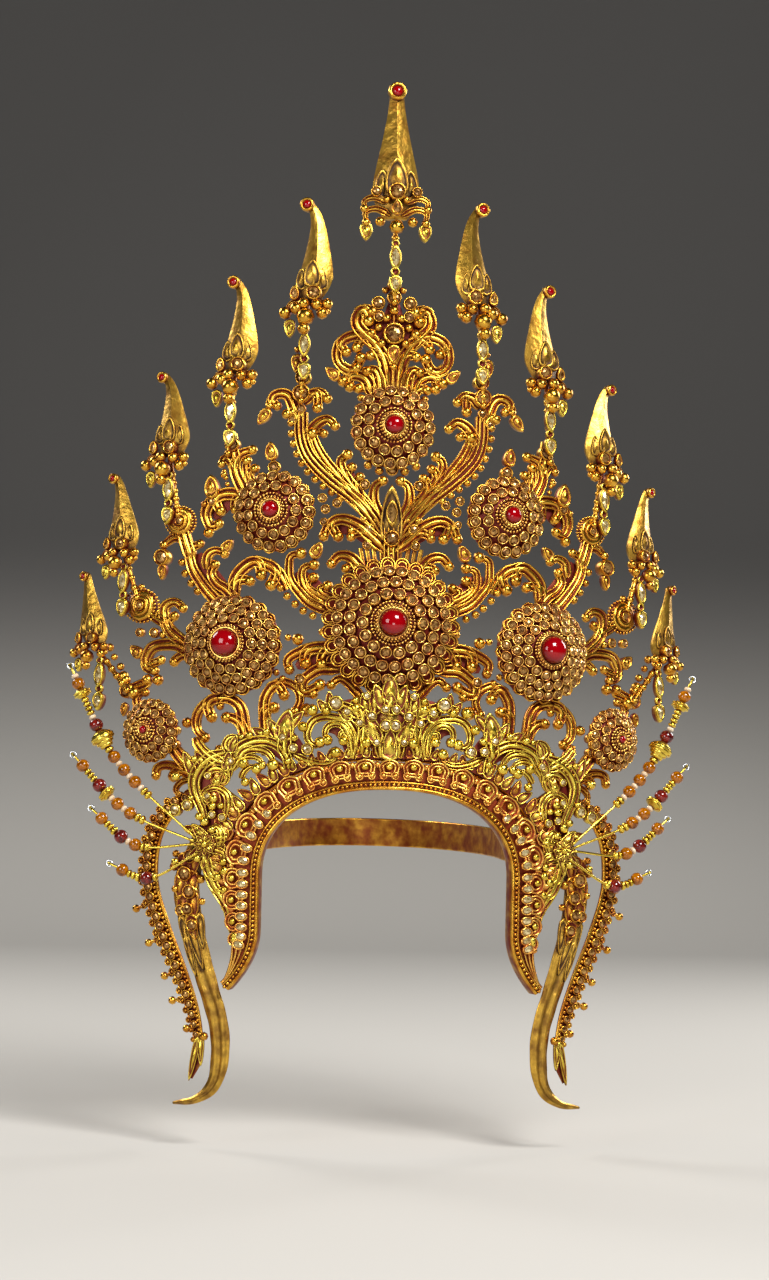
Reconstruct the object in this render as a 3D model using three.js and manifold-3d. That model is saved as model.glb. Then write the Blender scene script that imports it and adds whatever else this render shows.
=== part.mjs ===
// Apsara crown: a gilt openwork headdress with a curved face that leans back above the brow.
// Millimetres, +Z up, the face looks along -Y. The origin is the middle of the head opening at the
// height of the back band. Places on the face are given as [x, z], seen square on from the front.
import * as THREE from "three";
import { mergeVertices } from "three/addons/utils/BufferGeometryUtils.js";
import Module from "manifold-3d";

const wasm = await Module();
wasm.setup();

// Driving dimensions
const GAP = 0.3; // between pieces that rest on each other
const SIDES = { left: -1, right: 1 };
const FACE = { radius: 255, front: -100, brow: 36, blend: 30, leanDegrees: 7 };

// Layers of the crown, as lifts out of the face
const LATTICE = { back: -1.5, front: 1.5 };
const CREST = { back: 8.2, front: 11.2 };
const EAR = { back: 4.5, front: CREST.back - GAP };
const RIM_BAR = { back: 3, front: 12.6 };
const DISC_SIDES = 12;
const BALL = { around: 6, high: 4 };
const LEVEL = 0.25; // each level of soldered strips lies this much inside the one before
const STEM_RADIUS = 2.2;
const STEM_LIFT = LATTICE.front + GAP + STEM_RADIUS;

// Edge of the face opening: a flattened arch, straight cheeks and two points that turn outwards
const RIM = { halfWidth: 75.6, top: 36.5, shoulder: -19, exponent: 2.3, cheek: -52, width: 5 };
const RIM_POINT = { x: 92, z: -90 };
const PETALS = 27;
const PETAL_DEPTH = 3.2;
const PETAL_WIDTHS = [
  { share: 0, width: 13 },
  { share: 0.45, width: 16 },
  { share: 0.7, width: 16 },
  { share: 0.86, width: 10 },
  { share: 1, width: 2 },
];
const PETAL_LEAST = 1.5; // width of the petal band at its points
const RAIL = { width: 4, behind: 7, end: 0.58, steps: 48 };
const RIM_STEPS = 24; // along each half of the rim

// Head band
const BAND = {
  height: 18, thickness: 2, halfWidth: 79, back: 97, straight: -40, footIn: 85, footOut: 88, steps: 12,
};

// Rosettes: place, outer radius and ruby radius
const ROSETTES = [
  { name: "centre", x: 0, z: 138, radius: 43, ruby: 8.6 },
  { name: "upper", x: 0, z: 263, radius: 26.5, ruby: 6 },
  { name: "side", x: 96, z: 124, radius: 32, ruby: 8.8 },
  { name: "high", x: 72, z: 208.5, radius: 26, ruby: 5.4 },
  { name: "low", x: 145, z: 69, radius: 20, ruby: 2.6 },
];
const SEAT_SHARE = 0.76; // of the rosette's radius that the lattice's seat takes
const ROSETTE_TIERS = [
  { radius: 1, bottom: 0, top: 0.14 },
  { radius: 0.78, bottom: 0.2, top: 0.28 },
  { radius: 0.55, bottom: 0.34, top: 0.42 },
];
const ROSETTE_CUP = { margin: 2.2, foot: 0.45, height: 0.52 };
const ROSETTE_SIDES = 14;
const RUBY_SIDES = 12;
const RUBY_PROFILE = [[0, 0], [1, 0], [0.94, 0.35], [0.6, 0.72], [0, 0.85]];

// Small bosses soldered into the lattice, each under the foot of a spire
const BOSSES = [
  { x: 0, z: 347, radius: 5.5 },
  { x: 57, z: 282, radius: 5.5 },
  { x: 101, z: 249, radius: 5 },
  { x: 130, z: 202, radius: 9 },
  { x: 154, z: 150, radius: 10 },
  { x: 161, z: 97, radius: 5 },
];

// Scrolls: an arc through three places, then a curl of the given radius, turning on or (minus) back
const LATTICE_SCROLLS = [
  { root: [12, 215], through: [44, 238], tip: [57, 285], curl: 0, width: 9 },
  { root: [56, 276], through: [68, 284], tip: [80, 272], curl: 0, width: 6 },
  { root: [56, 276], through: [49, 284], tip: [42, 280], curl: 0, width: 5 },
  { root: [86, 218], through: [96, 234], tip: [101, 252], curl: 0, width: 6 },
  { root: [99, 148], through: [120, 171], tip: [127, 200], curl: 0, width: 7 },
  { root: [98, 146], through: [112, 168], tip: [113, 181], curl: 4.5, width: 5 },
  { root: [127, 189], through: [137, 188], tip: [143, 175], curl: 0, width: 5 },
  { root: [113, 176], through: [108, 187], tip: [101, 193], curl: 0, width: 5 },
  { root: [115, 130], through: [135, 139], tip: [138, 153], curl: 5, width: 6 },
  { root: [136, 141], through: [146, 145], tip: [154, 150], curl: 0, width: 5 },
  { root: [113, 121], through: [138, 127], tip: [152, 116], curl: 5, width: 6 },
  { root: [147, 122], through: [155, 125], tip: [162, 122], curl: 0, width: 5 },
  { root: [143, 73], through: [153, 85], tip: [161, 98], curl: 0, width: 6 },
  { root: [84, 216], through: [104, 221], tip: [116, 208], curl: 5, width: 6 },
  { root: [107, 219], through: [111, 223], tip: [114, 229], curl: 0, width: 5 },
  { root: [97, 106], through: [117, 89], tip: [116, 70], curl: 6, width: 7 },
  { root: [93, 106], through: [83, 80], tip: [78, 38], curl: 0, width: 8 },
  { root: [80, 58], through: [74, 97], tip: [55, 94], curl: 6, width: 7 },
  { root: [27, 150], through: [55, 161], tip: [63, 184], curl: 6, width: 8 },
  { root: [58, 163], through: [80, 180], tip: [100, 155], curl: 0, width: 6 },
  { root: [80, 178], through: [77, 187], tip: [73, 197], curl: 0, width: 6 },
  { root: [73, 226], through: [75, 238], tip: [78, 251], curl: 0, width: 7 },
  { root: [2, 90], through: [17, 102], tip: [32, 106], curl: 4, width: 6 },
  { root: [10, 164], through: [22, 180], tip: [37, 180], curl: 4, width: 6 },
  { root: [8, 166], through: [17, 187], tip: [27, 191], curl: 4, width: 6 },
  { root: [2, 186], through: [25, 205], tip: [41, 195], curl: 5, width: 7 },
  { root: [2, 205], through: [25, 222], tip: [43, 213], curl: 4, width: 7 },
  { root: [42, 213], through: [50, 212], tip: [58, 210], curl: 0, width: 6 },
  { root: [10, 210], through: [29, 231], tip: [30, 247], curl: 5, width: 7 },
  { root: [4, 280], through: [17, 320], tip: [35, 310], curl: 7, width: 8 },
  { root: [9, 279], through: [20, 297], tip: [32, 292], curl: 4, width: 6 },
  { root: [1, 310], through: [11, 330], tip: [21, 333], curl: 3.5, width: 5 },
  { root: [134, 64], through: [118, 46], tip: [86, 22], curl: 0, width: 7 },
];

// Upright bars in the middle, between the rail, the two middle rosettes and the top
const UPRIGHTS = [
  { from: 56, to: 110, width: 12 },
  { from: 160, to: 250, width: 11 },
  { from: 282, to: 353, width: 9 },
];

// Crest: scrolls, the pointed middle leaf as half widths and forward bends by height, and its seat at the ear
const CREST_SCROLLS = [
  { root: [16, 58], through: [30, 86], tip: [53, 71], curl: 8, width: 8 },
  { root: [53, 55], through: [42, 61], tip: [33, 70], curl: -5, width: 6 },
  { root: [64, 50], through: [67, 69], tip: [63, 85], curl: 0, width: 11 },
  { root: [61, 51], through: [79, 66], tip: [100, 50], curl: 7, width: 8 },
  { root: [97, 57], through: [114, 40], tip: [108, 4], curl: 0, width: 9 },
  { root: [89, 17], through: [103, 24], tip: [113, 31], curl: 0, width: 6 },
  { root: [97, 4], through: [102, 3], tip: [107, 0], curl: 0, width: 7 },
  { root: [108, -4], through: [105, -27], tip: [97, -48], curl: 0, width: 5 },
];
const CREST_LEAF = [
  { z: 57, half: 14, forward: 0 },
  { z: 68, half: 17, forward: 0 },
  { z: 80, half: 15, forward: 0.5 },
  { z: 92, half: 10, forward: 2 },
  { z: 100, half: 5, forward: 4 },
  { z: 109, half: 1, forward: 7.6 },
];
const PEG = { radius: 2.4, sides: 8, bite: 1, shares: [0, 0.22, 0.44] };
const HUB = { x: 107, z: 0, radius: 6.5, height: 6, seat: 7.6, sides: 12 };
const HUB_PROFILE = [[0, 0], [1, 0], [0.96, 0.3], [0.7, 0.7], [0.35, 0.95], [0, 1]];

// Spires: base of the cluster, height to the tip, width, inward sway, outward lean and stem foot
const SPIRES = [
  { name: "centre", x: 0, z: 384, height: 99, width: 29, sway: 0, lean: 0, foot: [0, 343] },
  { name: "1", x: 54, z: 332, height: 76, width: 21, sway: 6, lean: 0, foot: [57, 279] },
  { name: "2", x: 98, z: 287, height: 71, width: 20, sway: 5, lean: 0, foot: [101, 245] },
  { name: "3", x: 136.5, z: 235, height: 62, width: 19, sway: 4, lean: 4, foot: [131, 206] },
  { name: "4", x: 163.5, z: 175, height: 57, width: 17, sway: 2, lean: 6, foot: [155, 153] },
  { name: "5", x: 179.5, z: 115, height: 54, width: 16, sway: 0, lean: 7, foot: [160, 94] },
];
const SPIRE_SECTIONS = [
  { height: 0.02, width: 0.3, sway: 0 },
  { height: 0.12, width: 0.95, sway: 0.1 },
  { height: 0.24, width: 0.8, sway: 0.5 },
  { height: 0.34, width: 1, sway: 0.8 },
  { height: 0.55, width: 0.78, sway: 1 },
  { height: 0.74, width: 0.45, sway: 1 },
  { height: 0.88, width: 0.25, sway: 0.8 },
  { height: 0.95, width: 0.2, sway: 0.3 },
];
const SPIRE_SIDES = 6;
const SPIRE_DEPTH = 0.75; // of its width
const STEM = { top: 0.1, steps: 4 };
const SPIRE_TIP = { height: 0.94, radius: 0.055 };
const SPIRE_PEAR = { out: 0.5, height: 0.09, radius: 0.05 };
const DROP = { down: 0.24, ring: 2, marquise: [3, 13], pear: [4, 11], neck: 0.9, thickness: 2.4 };

// Bead wires: start angle at the hub, an arc through two places, and the beads from the inside out
const BEADS = {
  amber: { radius: 4, length: 7.6 },
  red: { radius: 4.3, length: 8.2 },
  pearl: { radius: 2.4, length: 3 },
  gold: { radius: 3, length: 3.6 },
  disc: { radius: 6, length: 6 },
  spacer: { radius: 2.6, length: 3 },
};
const BEAD_WIRES = [
  {
    name: "1", start: 30, through: [163, 50.5], tip: [193.7, 110],
    beads: ["gold", "gold", "pearl", "amber", "pearl", "amber", "pearl", "amber", "gold", "disc", "disc",
      "red", "pearl", "spacer", "spacer", "spacer", "spacer", "disc", "amber", "pearl"],
  },
  {
    name: "2", start: 12, through: [157, 19.5], tip: [190.9, 53.7],
    beads: ["gold", "gold", "amber", "pearl", "amber", "pearl", "disc", "red",
      "spacer", "spacer", "spacer", "amber"],
  },
  {
    name: "3", start: -3, through: [150, -2.3], tip: [178.9, 20.2],
    beads: ["spacer", "spacer", "amber", "pearl", "red", "gold", "spacer", "spacer", "amber"],
  },
  {
    name: "4", start: -52, through: [141, -22.8], tip: [166.7, -14.3],
    beads: ["gold", "red", "gold", "spacer", "spacer", "amber"],
  },
];
const WIRE = { radius: 0.9, lift: 13.2, end: 7, sides: 6, steps: 16 };
const BEAD_SHOULDER = 0.22; // share of a bead's length that rounds in at each end

// Ear blade: centre line and width, from behind the hub to its hooked tip
const BLADE = [
  { x: 112, z: 4, width: 10 },
  { x: 120, z: -25, width: 15 },
  { x: 116, z: -54, width: 14 },
  { x: 107, z: -85, width: 12 },
  { x: 99, z: -113, width: 11.5 },
  { x: 98, z: -135, width: 10.5 },
  { x: 103, z: -152, width: 8 },
  { x: 115, z: -161, width: 5 },
  { x: 130, z: -163, width: 2 },
];

// Ear strand: centre line and width, from behind the crest to its leaf tip, and its ball spurs
const STRAND = [
  { x: 115, z: 29, width: 6 },
  { x: 128, z: 24, width: 9 },
  { x: 140, z: 4, width: 10 },
  { x: 142, z: -25, width: 10 },
  { x: 134, z: -53, width: 10 },
  { x: 123, z: -80, width: 9 },
  { x: 115, z: -103, width: 8 },
  { x: 111, z: -122, width: 6 },
  { x: 111, z: -134, width: 6 },
  { x: 115, z: -147, width: 2 },
];
const SPURS = [
  { from: [139, -38], to: [150, -43] },
  { from: [131, -59], to: [142, -64] },
  { from: [122, -80], to: [132, -84] },
  { from: [116, -97], to: [127, -99] },
  { from: [111, -113], to: [118, -116] },
];
const SPUR = { width: 2.4, ball: 2.8 };
const BLADE_STEPS = 18;
const STRAND_STEPS = 14;

// Finishes
const gilt = new THREE.MeshStandardMaterial({ color: 0xc1932c, roughness: 0.36, metalness: 1 });
const brightGilt = new THREE.MeshStandardMaterial({ color: 0xd4b83c, roughness: 0.3, metalness: 1 });
const settingGilt = new THREE.MeshStandardMaterial({ color: 0x9a7438, roughness: 0.42, metalness: 1 });
const rubyGlass = new THREE.MeshStandardMaterial({ color: 0xb3000f, roughness: 0.08, metalness: 0 });
const beadGlass = new THREE.MeshStandardMaterial({ color: 0xb8601c, roughness: 0.2, metalness: 0 });

// The crown's face

function facePoint(x, z, lift) {
  const depth = Math.sqrt(FACE.radius ** 2 - x * x);
  const above = z - FACE.brow;
  const lean = Math.tan(THREE.MathUtils.degToRad(FACE.leanDegrees));
  const rise = Math.hypot(above, FACE.blend);
  const point = new THREE.Vector3(x, FACE.front + FACE.radius - depth + lean * (above + rise) / 2, z);
  const out = new THREE.Vector3(x / depth, -1, lean * (1 + above / rise) / 2).normalize();
  return point.addScaledVector(out, lift);
}

// A frame on the face: X across it, Y up along it and Z out of it
function faceFrame(x, z, lift) {
  const origin = facePoint(x, z, lift);
  const out = facePoint(x, z, lift + 1).sub(origin);
  const across = new THREE.Vector3(0, 0, 1).cross(out).normalize();
  const up = out.clone().cross(across);
  return new THREE.Matrix4().makeBasis(across, up, out).setPosition(origin);
}

// Solids

function loft(rings) {
  const count = rings[0].length;
  const points = rings.flat();
  const faces = [];
  for (let start = 0; start + count < points.length; start += count) {
    for (let k = 0; k < count; k++) {
      const a = start + k;
      const b = start + (k + 1) % count;
      faces.push([a, b, a + count], [b, b + count, a + count]);
    }
  }
  const last = points.length - count;
  for (let k = 1; k + 1 < count; k++) {
    faces.push([0, k + 1, k], [last, last + k, last + k + 1]);
  }
  const volume = faces.reduce((sum, [a, b, c]) => sum + points[a].dot(points[b].clone().cross(points[c])), 0);
  const outward = volume > 0 ? faces : faces.map(([a, b, c]) => [a, c, b]);
  const geometry = new THREE.BufferGeometry().setFromPoints(points);
  geometry.setIndex(outward.flat());
  return geometry;
}

function solid(geometry) {
  const bare = geometry.clone();
  bare.deleteAttribute("normal");
  bare.deleteAttribute("uv");
  const merged = mergeVertices(bare);
  const vertProperties = merged.attributes.position.array;
  const triVerts = new Uint32Array(merged.index.array);
  return new wasm.Manifold(new wasm.Mesh({ numProp: 3, vertProperties, triVerts }));
}

function join(geometries) {
  const whole = geometries.map(solid).reduce((sum, piece) => sum.add(piece)).getMesh();
  const geometry = new THREE.BufferGeometry();
  geometry.setAttribute("position", new THREE.BufferAttribute(whole.vertProperties, 3));
  geometry.setIndex(new THREE.BufferAttribute(whole.triVerts, 1));
  geometry.computeVertexNormals();
  return geometry;
}

function piece(name, geometry, material) {
  const mesh = new THREE.Mesh(geometry, material);
  mesh.name = name;
  return mesh;
}

function standOnFace(mesh, x, z, lift) {
  faceFrame(x, z, lift).decompose(mesh.position, mesh.quaternion, mesh.scale);
  return mesh;
}

// Paths on the face

function arc(a, b, c, steps) {
  const ab = b.clone().sub(a);
  const ac = c.clone().sub(a);
  const turn = 2 * ab.cross(ac);
  const centre = new THREE.Vector2(
    a.x + (ac.y * ab.lengthSq() - ab.y * ac.lengthSq()) / turn,
    a.y + (ab.x * ac.lengthSq() - ac.x * ab.lengthSq()) / turn,
  );
  const radius = a.distanceTo(centre);
  const first = a.clone().sub(centre).angle();
  const full = 2 * Math.PI;
  const sweep = c.clone().sub(centre).angle() - first;
  const turned = turn > 0 ? (sweep + full) % full : (sweep - full) % full;
  return Array.from({ length: steps + 1 }, (_, k) => {
    const angle = first + turned * k / steps;
    return new THREE.Vector2(centre.x + radius * Math.cos(angle), centre.y + radius * Math.sin(angle));
  });
}

const ARC_STEP = 15; // most that one straight stretch of an arc spans
const CURL_STEPS = 3;
const CURL_TURN = THREE.MathUtils.degToRad(200);
const CURL_TIGHTENS = 0.45;

function scroll(row) {
  const [root, through, tip] = [row.root, row.through, row.tip].map(([x, z]) => new THREE.Vector2(x, z));
  const span = root.distanceTo(through) + through.distanceTo(tip);
  const path = arc(root, through, tip, Math.max(2, Math.ceil(span / ARC_STEP)));
  if (row.curl === 0) return path;
  const heading = tip.clone().sub(path.at(-2)).normalize();
  const bend = Math.sign(through.clone().sub(root).cross(tip.clone().sub(root)));
  const step = bend * Math.sign(row.curl) * CURL_TURN / CURL_STEPS;
  const place = tip.clone();
  for (let k = 0; k < CURL_STEPS; k++) {
    const radius = Math.abs(row.curl) * (1 - (1 - CURL_TIGHTENS) * k / CURL_STEPS);
    heading.rotateAround(new THREE.Vector2(), step);
    place.addScaledVector(heading, radius * Math.abs(step));
    path.push(place.clone());
  }
  return path;
}

// Rows in the middle stand once, and all others on both sides
function onBothSides(rows) {
  return rows.flatMap((row) => {
    if (row.x === 0) return [{ ...row, side: 1 }];
    return Object.entries(SIDES).map(([word, side]) => ({ ...row, name: `${row.name}_${word}`, side }));
  });
}

function mirrored(path, side) {
  return path.map((point) => new THREE.Vector2(side * point.x, point.y));
}

// Left-hand normal of a path at one of its points
function normalAt(path, k) {
  const before = path[Math.max(k - 1, 0)];
  const after = path[Math.min(k + 1, path.length - 1)];
  const along = after.clone().sub(before).normalize();
  return new THREE.Vector2(-along.y, along.x);
}

function strip(path, widthAt, layer) {
  return loft(path.map((point, k) => {
    const half = widthAt(k / (path.length - 1)) / 2;
    const across = normalAt(path, k).multiplyScalar(half);
    const left = point.clone().add(across);
    const right = point.clone().sub(across);
    return [
      facePoint(left.x, left.y, layer.back), facePoint(left.x, left.y, layer.front),
      facePoint(right.x, right.y, layer.front), facePoint(right.x, right.y, layer.back),
    ];
  }));
}

function inside(layer, level) {
  return { back: layer.back + level * LEVEL, front: layer.front - level * LEVEL };
}

// A strip with a flat back and a ridge along the middle of its front
function ridged(path, widthAt, layer) {
  return loft(path.map((point, k) => {
    const across = normalAt(path, k).multiplyScalar(widthAt(k / (path.length - 1)) / 2);
    const left = point.clone().add(across);
    const right = point.clone().sub(across);
    return [
      facePoint(left.x, left.y, layer.back),
      facePoint(point.x, point.y, layer.front),
      facePoint(right.x, right.y, layer.back),
    ];
  }));
}

// Scrolls on both sides, on three levels in turn so that crossing strips are never flush
function scrollStrips(rows, layer) {
  const levels = 3;
  return Object.values(SIDES).flatMap((side) => rows.map((row, k) => {
    const taper = row.curl === 0 ? 0.25 : 0.45;
    const widthAt = (t) => row.width * (1 - taper * t * t);
    return ridged(mirrored(scroll(row), side), widthAt, inside(layer, 1 + k % levels));
  }));
}

function disc(x, z, radius, layer, sides = DISC_SIDES) {
  const plate = new THREE.CylinderGeometry(radius, radius, layer.front - layer.back, sides);
  plate.rotateX(Math.PI / 2);
  return plate.applyMatrix4(faceFrame(x, z, (layer.back + layer.front) / 2));
}

function ball(x, z, lift, radius) {
  const centre = facePoint(x, z, lift);
  return new THREE.SphereGeometry(radius, BALL.around, BALL.high).translate(centre.x, centre.y, centre.z);
}

// Frontlet

function rimHalf(steps) {
  const arch = Array.from({ length: steps + 1 }, (_, k) => {
    const angle = k / steps * Math.PI / 2;
    const round = (value) => Math.max(value, 0) ** (2 / RIM.exponent);
    const rise = (RIM.top - RIM.shoulder) * round(Math.cos(angle));
    return new THREE.Vector2(RIM.halfWidth * round(Math.sin(angle)), RIM.shoulder + rise);
  });
  const bend = new THREE.Vector2(RIM.halfWidth, (RIM.cheek + RIM_POINT.z) / 2);
  const start = new THREE.Vector2(RIM.halfWidth, RIM.cheek);
  const cheek = new THREE.QuadraticBezierCurve(start, bend, new THREE.Vector2(RIM_POINT.x, RIM_POINT.z));
  const outline = new THREE.CurvePath();
  outline.add(new THREE.SplineCurve(arch));
  outline.add(new THREE.LineCurve(arch.at(-1), start));
  outline.add(cheek);
  return outline.getSpacedPoints(steps);
}

// The whole edge from the left cheek point over the brow to the right one
function rimEdge(steps) {
  const right = rimHalf(steps);
  const left = mirrored(right.slice(1), -1).reverse();
  return [...left, ...right];
}

// The edge moved outwards by a distance that depends on the share of the way from the brow to the point
function outsideRim(path, distanceAt) {
  return path.map((point, k) => {
    const share = Math.abs(2 * k / (path.length - 1) - 1);
    return point.clone().addScaledVector(normalAt(path, k), distanceAt(share));
  });
}

function petalWidth(share) {
  const next = Math.max(1, PETAL_WIDTHS.findIndex((row) => row.share >= share));
  const [a, b] = [PETAL_WIDTHS[next - 1], PETAL_WIDTHS[next]];
  return THREE.MathUtils.mapLinear(share, a.share, b.share, a.width, b.width);
}

function faceRim() {
  const path = outsideRim(rimEdge(RIM_STEPS), () => RIM.width / 2);
  return strip(path, () => RIM.width, RIM_BAR);
}

function petalBand() {
  const edge = rimEdge(PETALS * 2);
  const widthAt = (share) => {
    const wave = Math.abs(Math.sin(share * PETALS / 2 * Math.PI + PETALS % 2 * Math.PI / 2));
    return Math.max(PETAL_LEAST, petalWidth(share) - PETAL_DEPTH * (1 - wave));
  };
  const inner = RIM.width + GAP;
  const path = outsideRim(edge, (share) => inner + widthAt(share) / 2);
  return strip(path, (t) => widthAt(Math.abs(2 * t - 1)), CREST);
}

// Rail that follows the petals' tips, for the crest and again for the lattice behind it
function rail(layer, width) {
  const clear = RIM.width + 3 * GAP + RAIL.width / 2;
  const path = outsideRim(rimEdge(RAIL.steps), (share) => clear + petalWidth(share));
  const used = path.filter((_, k) => Math.abs(2 * k / (path.length - 1) - 1) <= RAIL.end);
  return { solid: strip(used, () => width, layer), path };
}

function crest() {
  const { solid: railSolid, path } = rail(CREST, RAIL.width);
  const { back, front } = inside(CREST, 0.5);
  const leaf = loft(CREST_LEAF.map(({ z, half, forward }) => [
    facePoint(-half, z, back + forward), facePoint(-half, z, front + forward),
    facePoint(half, z, front + forward), facePoint(half, z, back + forward),
  ]));
  const parts = [railSolid, leaf, ...scrollStrips(CREST_SCROLLS, CREST)];
  parts.push(...Object.values(SIDES).map((side) => disc(side * HUB.x, HUB.z, HUB.seat, CREST)));
  const middle = (path.length - 1) / 2;
  const shares = new Set(PEG.shares.flatMap((share) => [share, -share]));
  for (const share of shares) {
    const place = path[Math.round(middle + share * middle)];
    const layer = { back: LATTICE.front + GAP, front: CREST.back + PEG.bite };
    parts.push(disc(place.x, place.y, PEG.radius, layer, PEG.sides));
  }
  return join(parts);
}

// Lattice

function lattice() {
  const parts = [rail(LATTICE, RAIL.behind).solid, ...scrollStrips(LATTICE_SCROLLS, LATTICE)];
  for (const bar of UPRIGHTS) {
    const line = new THREE.LineCurve(new THREE.Vector2(0, bar.from), new THREE.Vector2(0, bar.to));
    const path = line.getPoints(Math.ceil((bar.to - bar.from) / ARC_STEP));
    parts.push(strip(path, () => bar.width, inside(LATTICE, 0.5)));
  }
  for (const boss of onBothSides(BOSSES)) {
    parts.push(disc(boss.side * boss.x, boss.z, boss.radius, LATTICE));
  }
  for (const seat of onBothSides(ROSETTES)) {
    parts.push(disc(seat.side * seat.x, seat.z, seat.radius * SEAT_SHARE, LATTICE));
  }
  return join(parts);
}

// Rosettes and rubies

function lathe(profile, sides) {
  const points = profile.map(([radius, height]) => new THREE.Vector2(radius, height));
  return new THREE.LatheGeometry(points, sides).rotateX(Math.PI / 2);
}

function rosette(row) {
  const cup = row.ruby + ROSETTE_CUP.margin;
  const top = ROSETTE_CUP.height * row.radius;
  const tiers = ROSETTE_TIERS.flatMap((tier) => [
    [tier.radius * row.radius, tier.bottom * row.radius],
    [tier.radius * row.radius, tier.top * row.radius],
  ]);
  const profile = [[0, 0], ...tiers, [cup, ROSETTE_CUP.foot * row.radius], [cup, top], [0, top]];
  const cone = piece(`rosette_${row.name}`, lathe(profile, ROSETTE_SIDES), settingGilt);
  return standOnFace(cone, row.side * row.x, row.z, LATTICE.front + GAP);
}

function ruby(row) {
  const profile = RUBY_PROFILE.map(([radius, height]) => [radius * row.ruby, height * row.ruby]);
  const lift = LATTICE.front + 2 * GAP + ROSETTE_CUP.height * row.radius;
  const dome = piece(`ruby_${row.name}`, lathe(profile, RUBY_SIDES), rubyGlass);
  return standOnFace(dome, row.side * row.x, row.z, lift);
}

// Spires and their drops

// The stem from inside the base cluster down to its foot on the lattice
function stemLine(row) {
  const insideCluster = new THREE.Vector2(row.x, row.z + STEM.top * row.height);
  return new THREE.LineCurve(insideCluster, new THREE.Vector2(...row.foot));
}

function spire(row) {
  const body = loft(SPIRE_SECTIONS.map((section) => {
    const half = section.width * row.width / 2;
    const middle = row.x + section.height * row.lean - section.sway * row.sway;
    const z = row.z + section.height * row.height;
    return Array.from({ length: SPIRE_SIDES }, (_, k) => {
      const angle = k / SPIRE_SIDES * 2 * Math.PI;
      const x = middle + half * Math.cos(angle);
      return facePoint(row.side * x, z, STEM_LIFT + SPIRE_DEPTH * half * Math.sin(angle));
    });
  }));
  const tipHeight = row.z + SPIRE_TIP.height * row.height;
  const tip = ball(row.side * (row.x + row.lean), tipHeight, STEM_LIFT, SPIRE_TIP.radius * row.height);
  const stemLayer = { back: STEM_LIFT - STEM_RADIUS, front: STEM_LIFT + STEM_RADIUS };
  const stemPath = mirrored(stemLine(row).getPoints(STEM.steps), row.side);
  const stem = strip(stemPath, () => 2 * STEM_RADIUS, stemLayer);
  const pears = (row.x === 0 ? [-1, 1] : [row.side]).map((out) => ball(
    row.side * row.x + out * SPIRE_PEAR.out * row.width, row.z + SPIRE_PEAR.height * row.height,
    STEM_LIFT, SPIRE_PEAR.radius * row.height,
  ));
  return piece(`spire_${row.name}`, join([body, tip, stem, ...pears]), gilt);
}

// A ring, a marquise setting and a pear setting in one plate, hung by its top
function dropOutline() {
  const [marquiseHalf, marquiseLong] = DROP.marquise;
  const [pearHalf, pearLong] = DROP.pear;
  const right = [
    [DROP.ring * 0.6, 0], [DROP.ring, -DROP.ring], [DROP.neck, -2 * DROP.ring],
    [marquiseHalf, -2 * DROP.ring - marquiseLong * 0.35],
    [marquiseHalf, -2 * DROP.ring - marquiseLong * 0.65],
    [DROP.neck, -2 * DROP.ring - marquiseLong],
    [DROP.ring, -3 * DROP.ring - marquiseLong], [DROP.neck, -4 * DROP.ring - marquiseLong],
    [pearHalf, -4 * DROP.ring - marquiseLong - pearLong * 0.55],
    [pearHalf * 0.7, -4 * DROP.ring - marquiseLong - pearLong * 0.9],
    [DROP.neck, -4 * DROP.ring - marquiseLong - pearLong],
  ];
  const left = right.map(([x, y]) => [-x, y]).reverse();
  return new THREE.Shape([...right, ...left].map(([x, y]) => new THREE.Vector2(x, y)));
}

function spireDrop(row) {
  const plate = new THREE.ExtrudeGeometry(dropOutline(), { depth: DROP.thickness, bevelEnabled: false });
  const hung = stemLine(row).getPoint(DROP.down);
  const lift = STEM_LIFT + STEM_RADIUS + GAP;
  return standOnFace(piece(`spire_drop_${row.name}`, plate, gilt), row.side * hung.x, hung.y, lift);
}

// Ears

function earHub(word, side) {
  const profile = HUB_PROFILE.map(([radius, height]) => [radius * HUB.radius, height * HUB.height]);
  const dome = lathe(profile, HUB.sides);
  return standOnFace(piece(`ear_hub_${word}`, dome, gilt), side * HUB.x, HUB.z, CREST.front + GAP);
}

// A place in the plane that lies against the face at the hub
function hubPlanePoint(x, z, side) {
  const hub = facePoint(HUB.x, HUB.z, WIRE.lift);
  const out = x - HUB.x;
  const slope = HUB.x / Math.sqrt(FACE.radius ** 2 - HUB.x ** 2);
  return new THREE.Vector3(side * (hub.x + out), hub.y + slope * out, hub.z + z - HUB.z);
}

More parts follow.
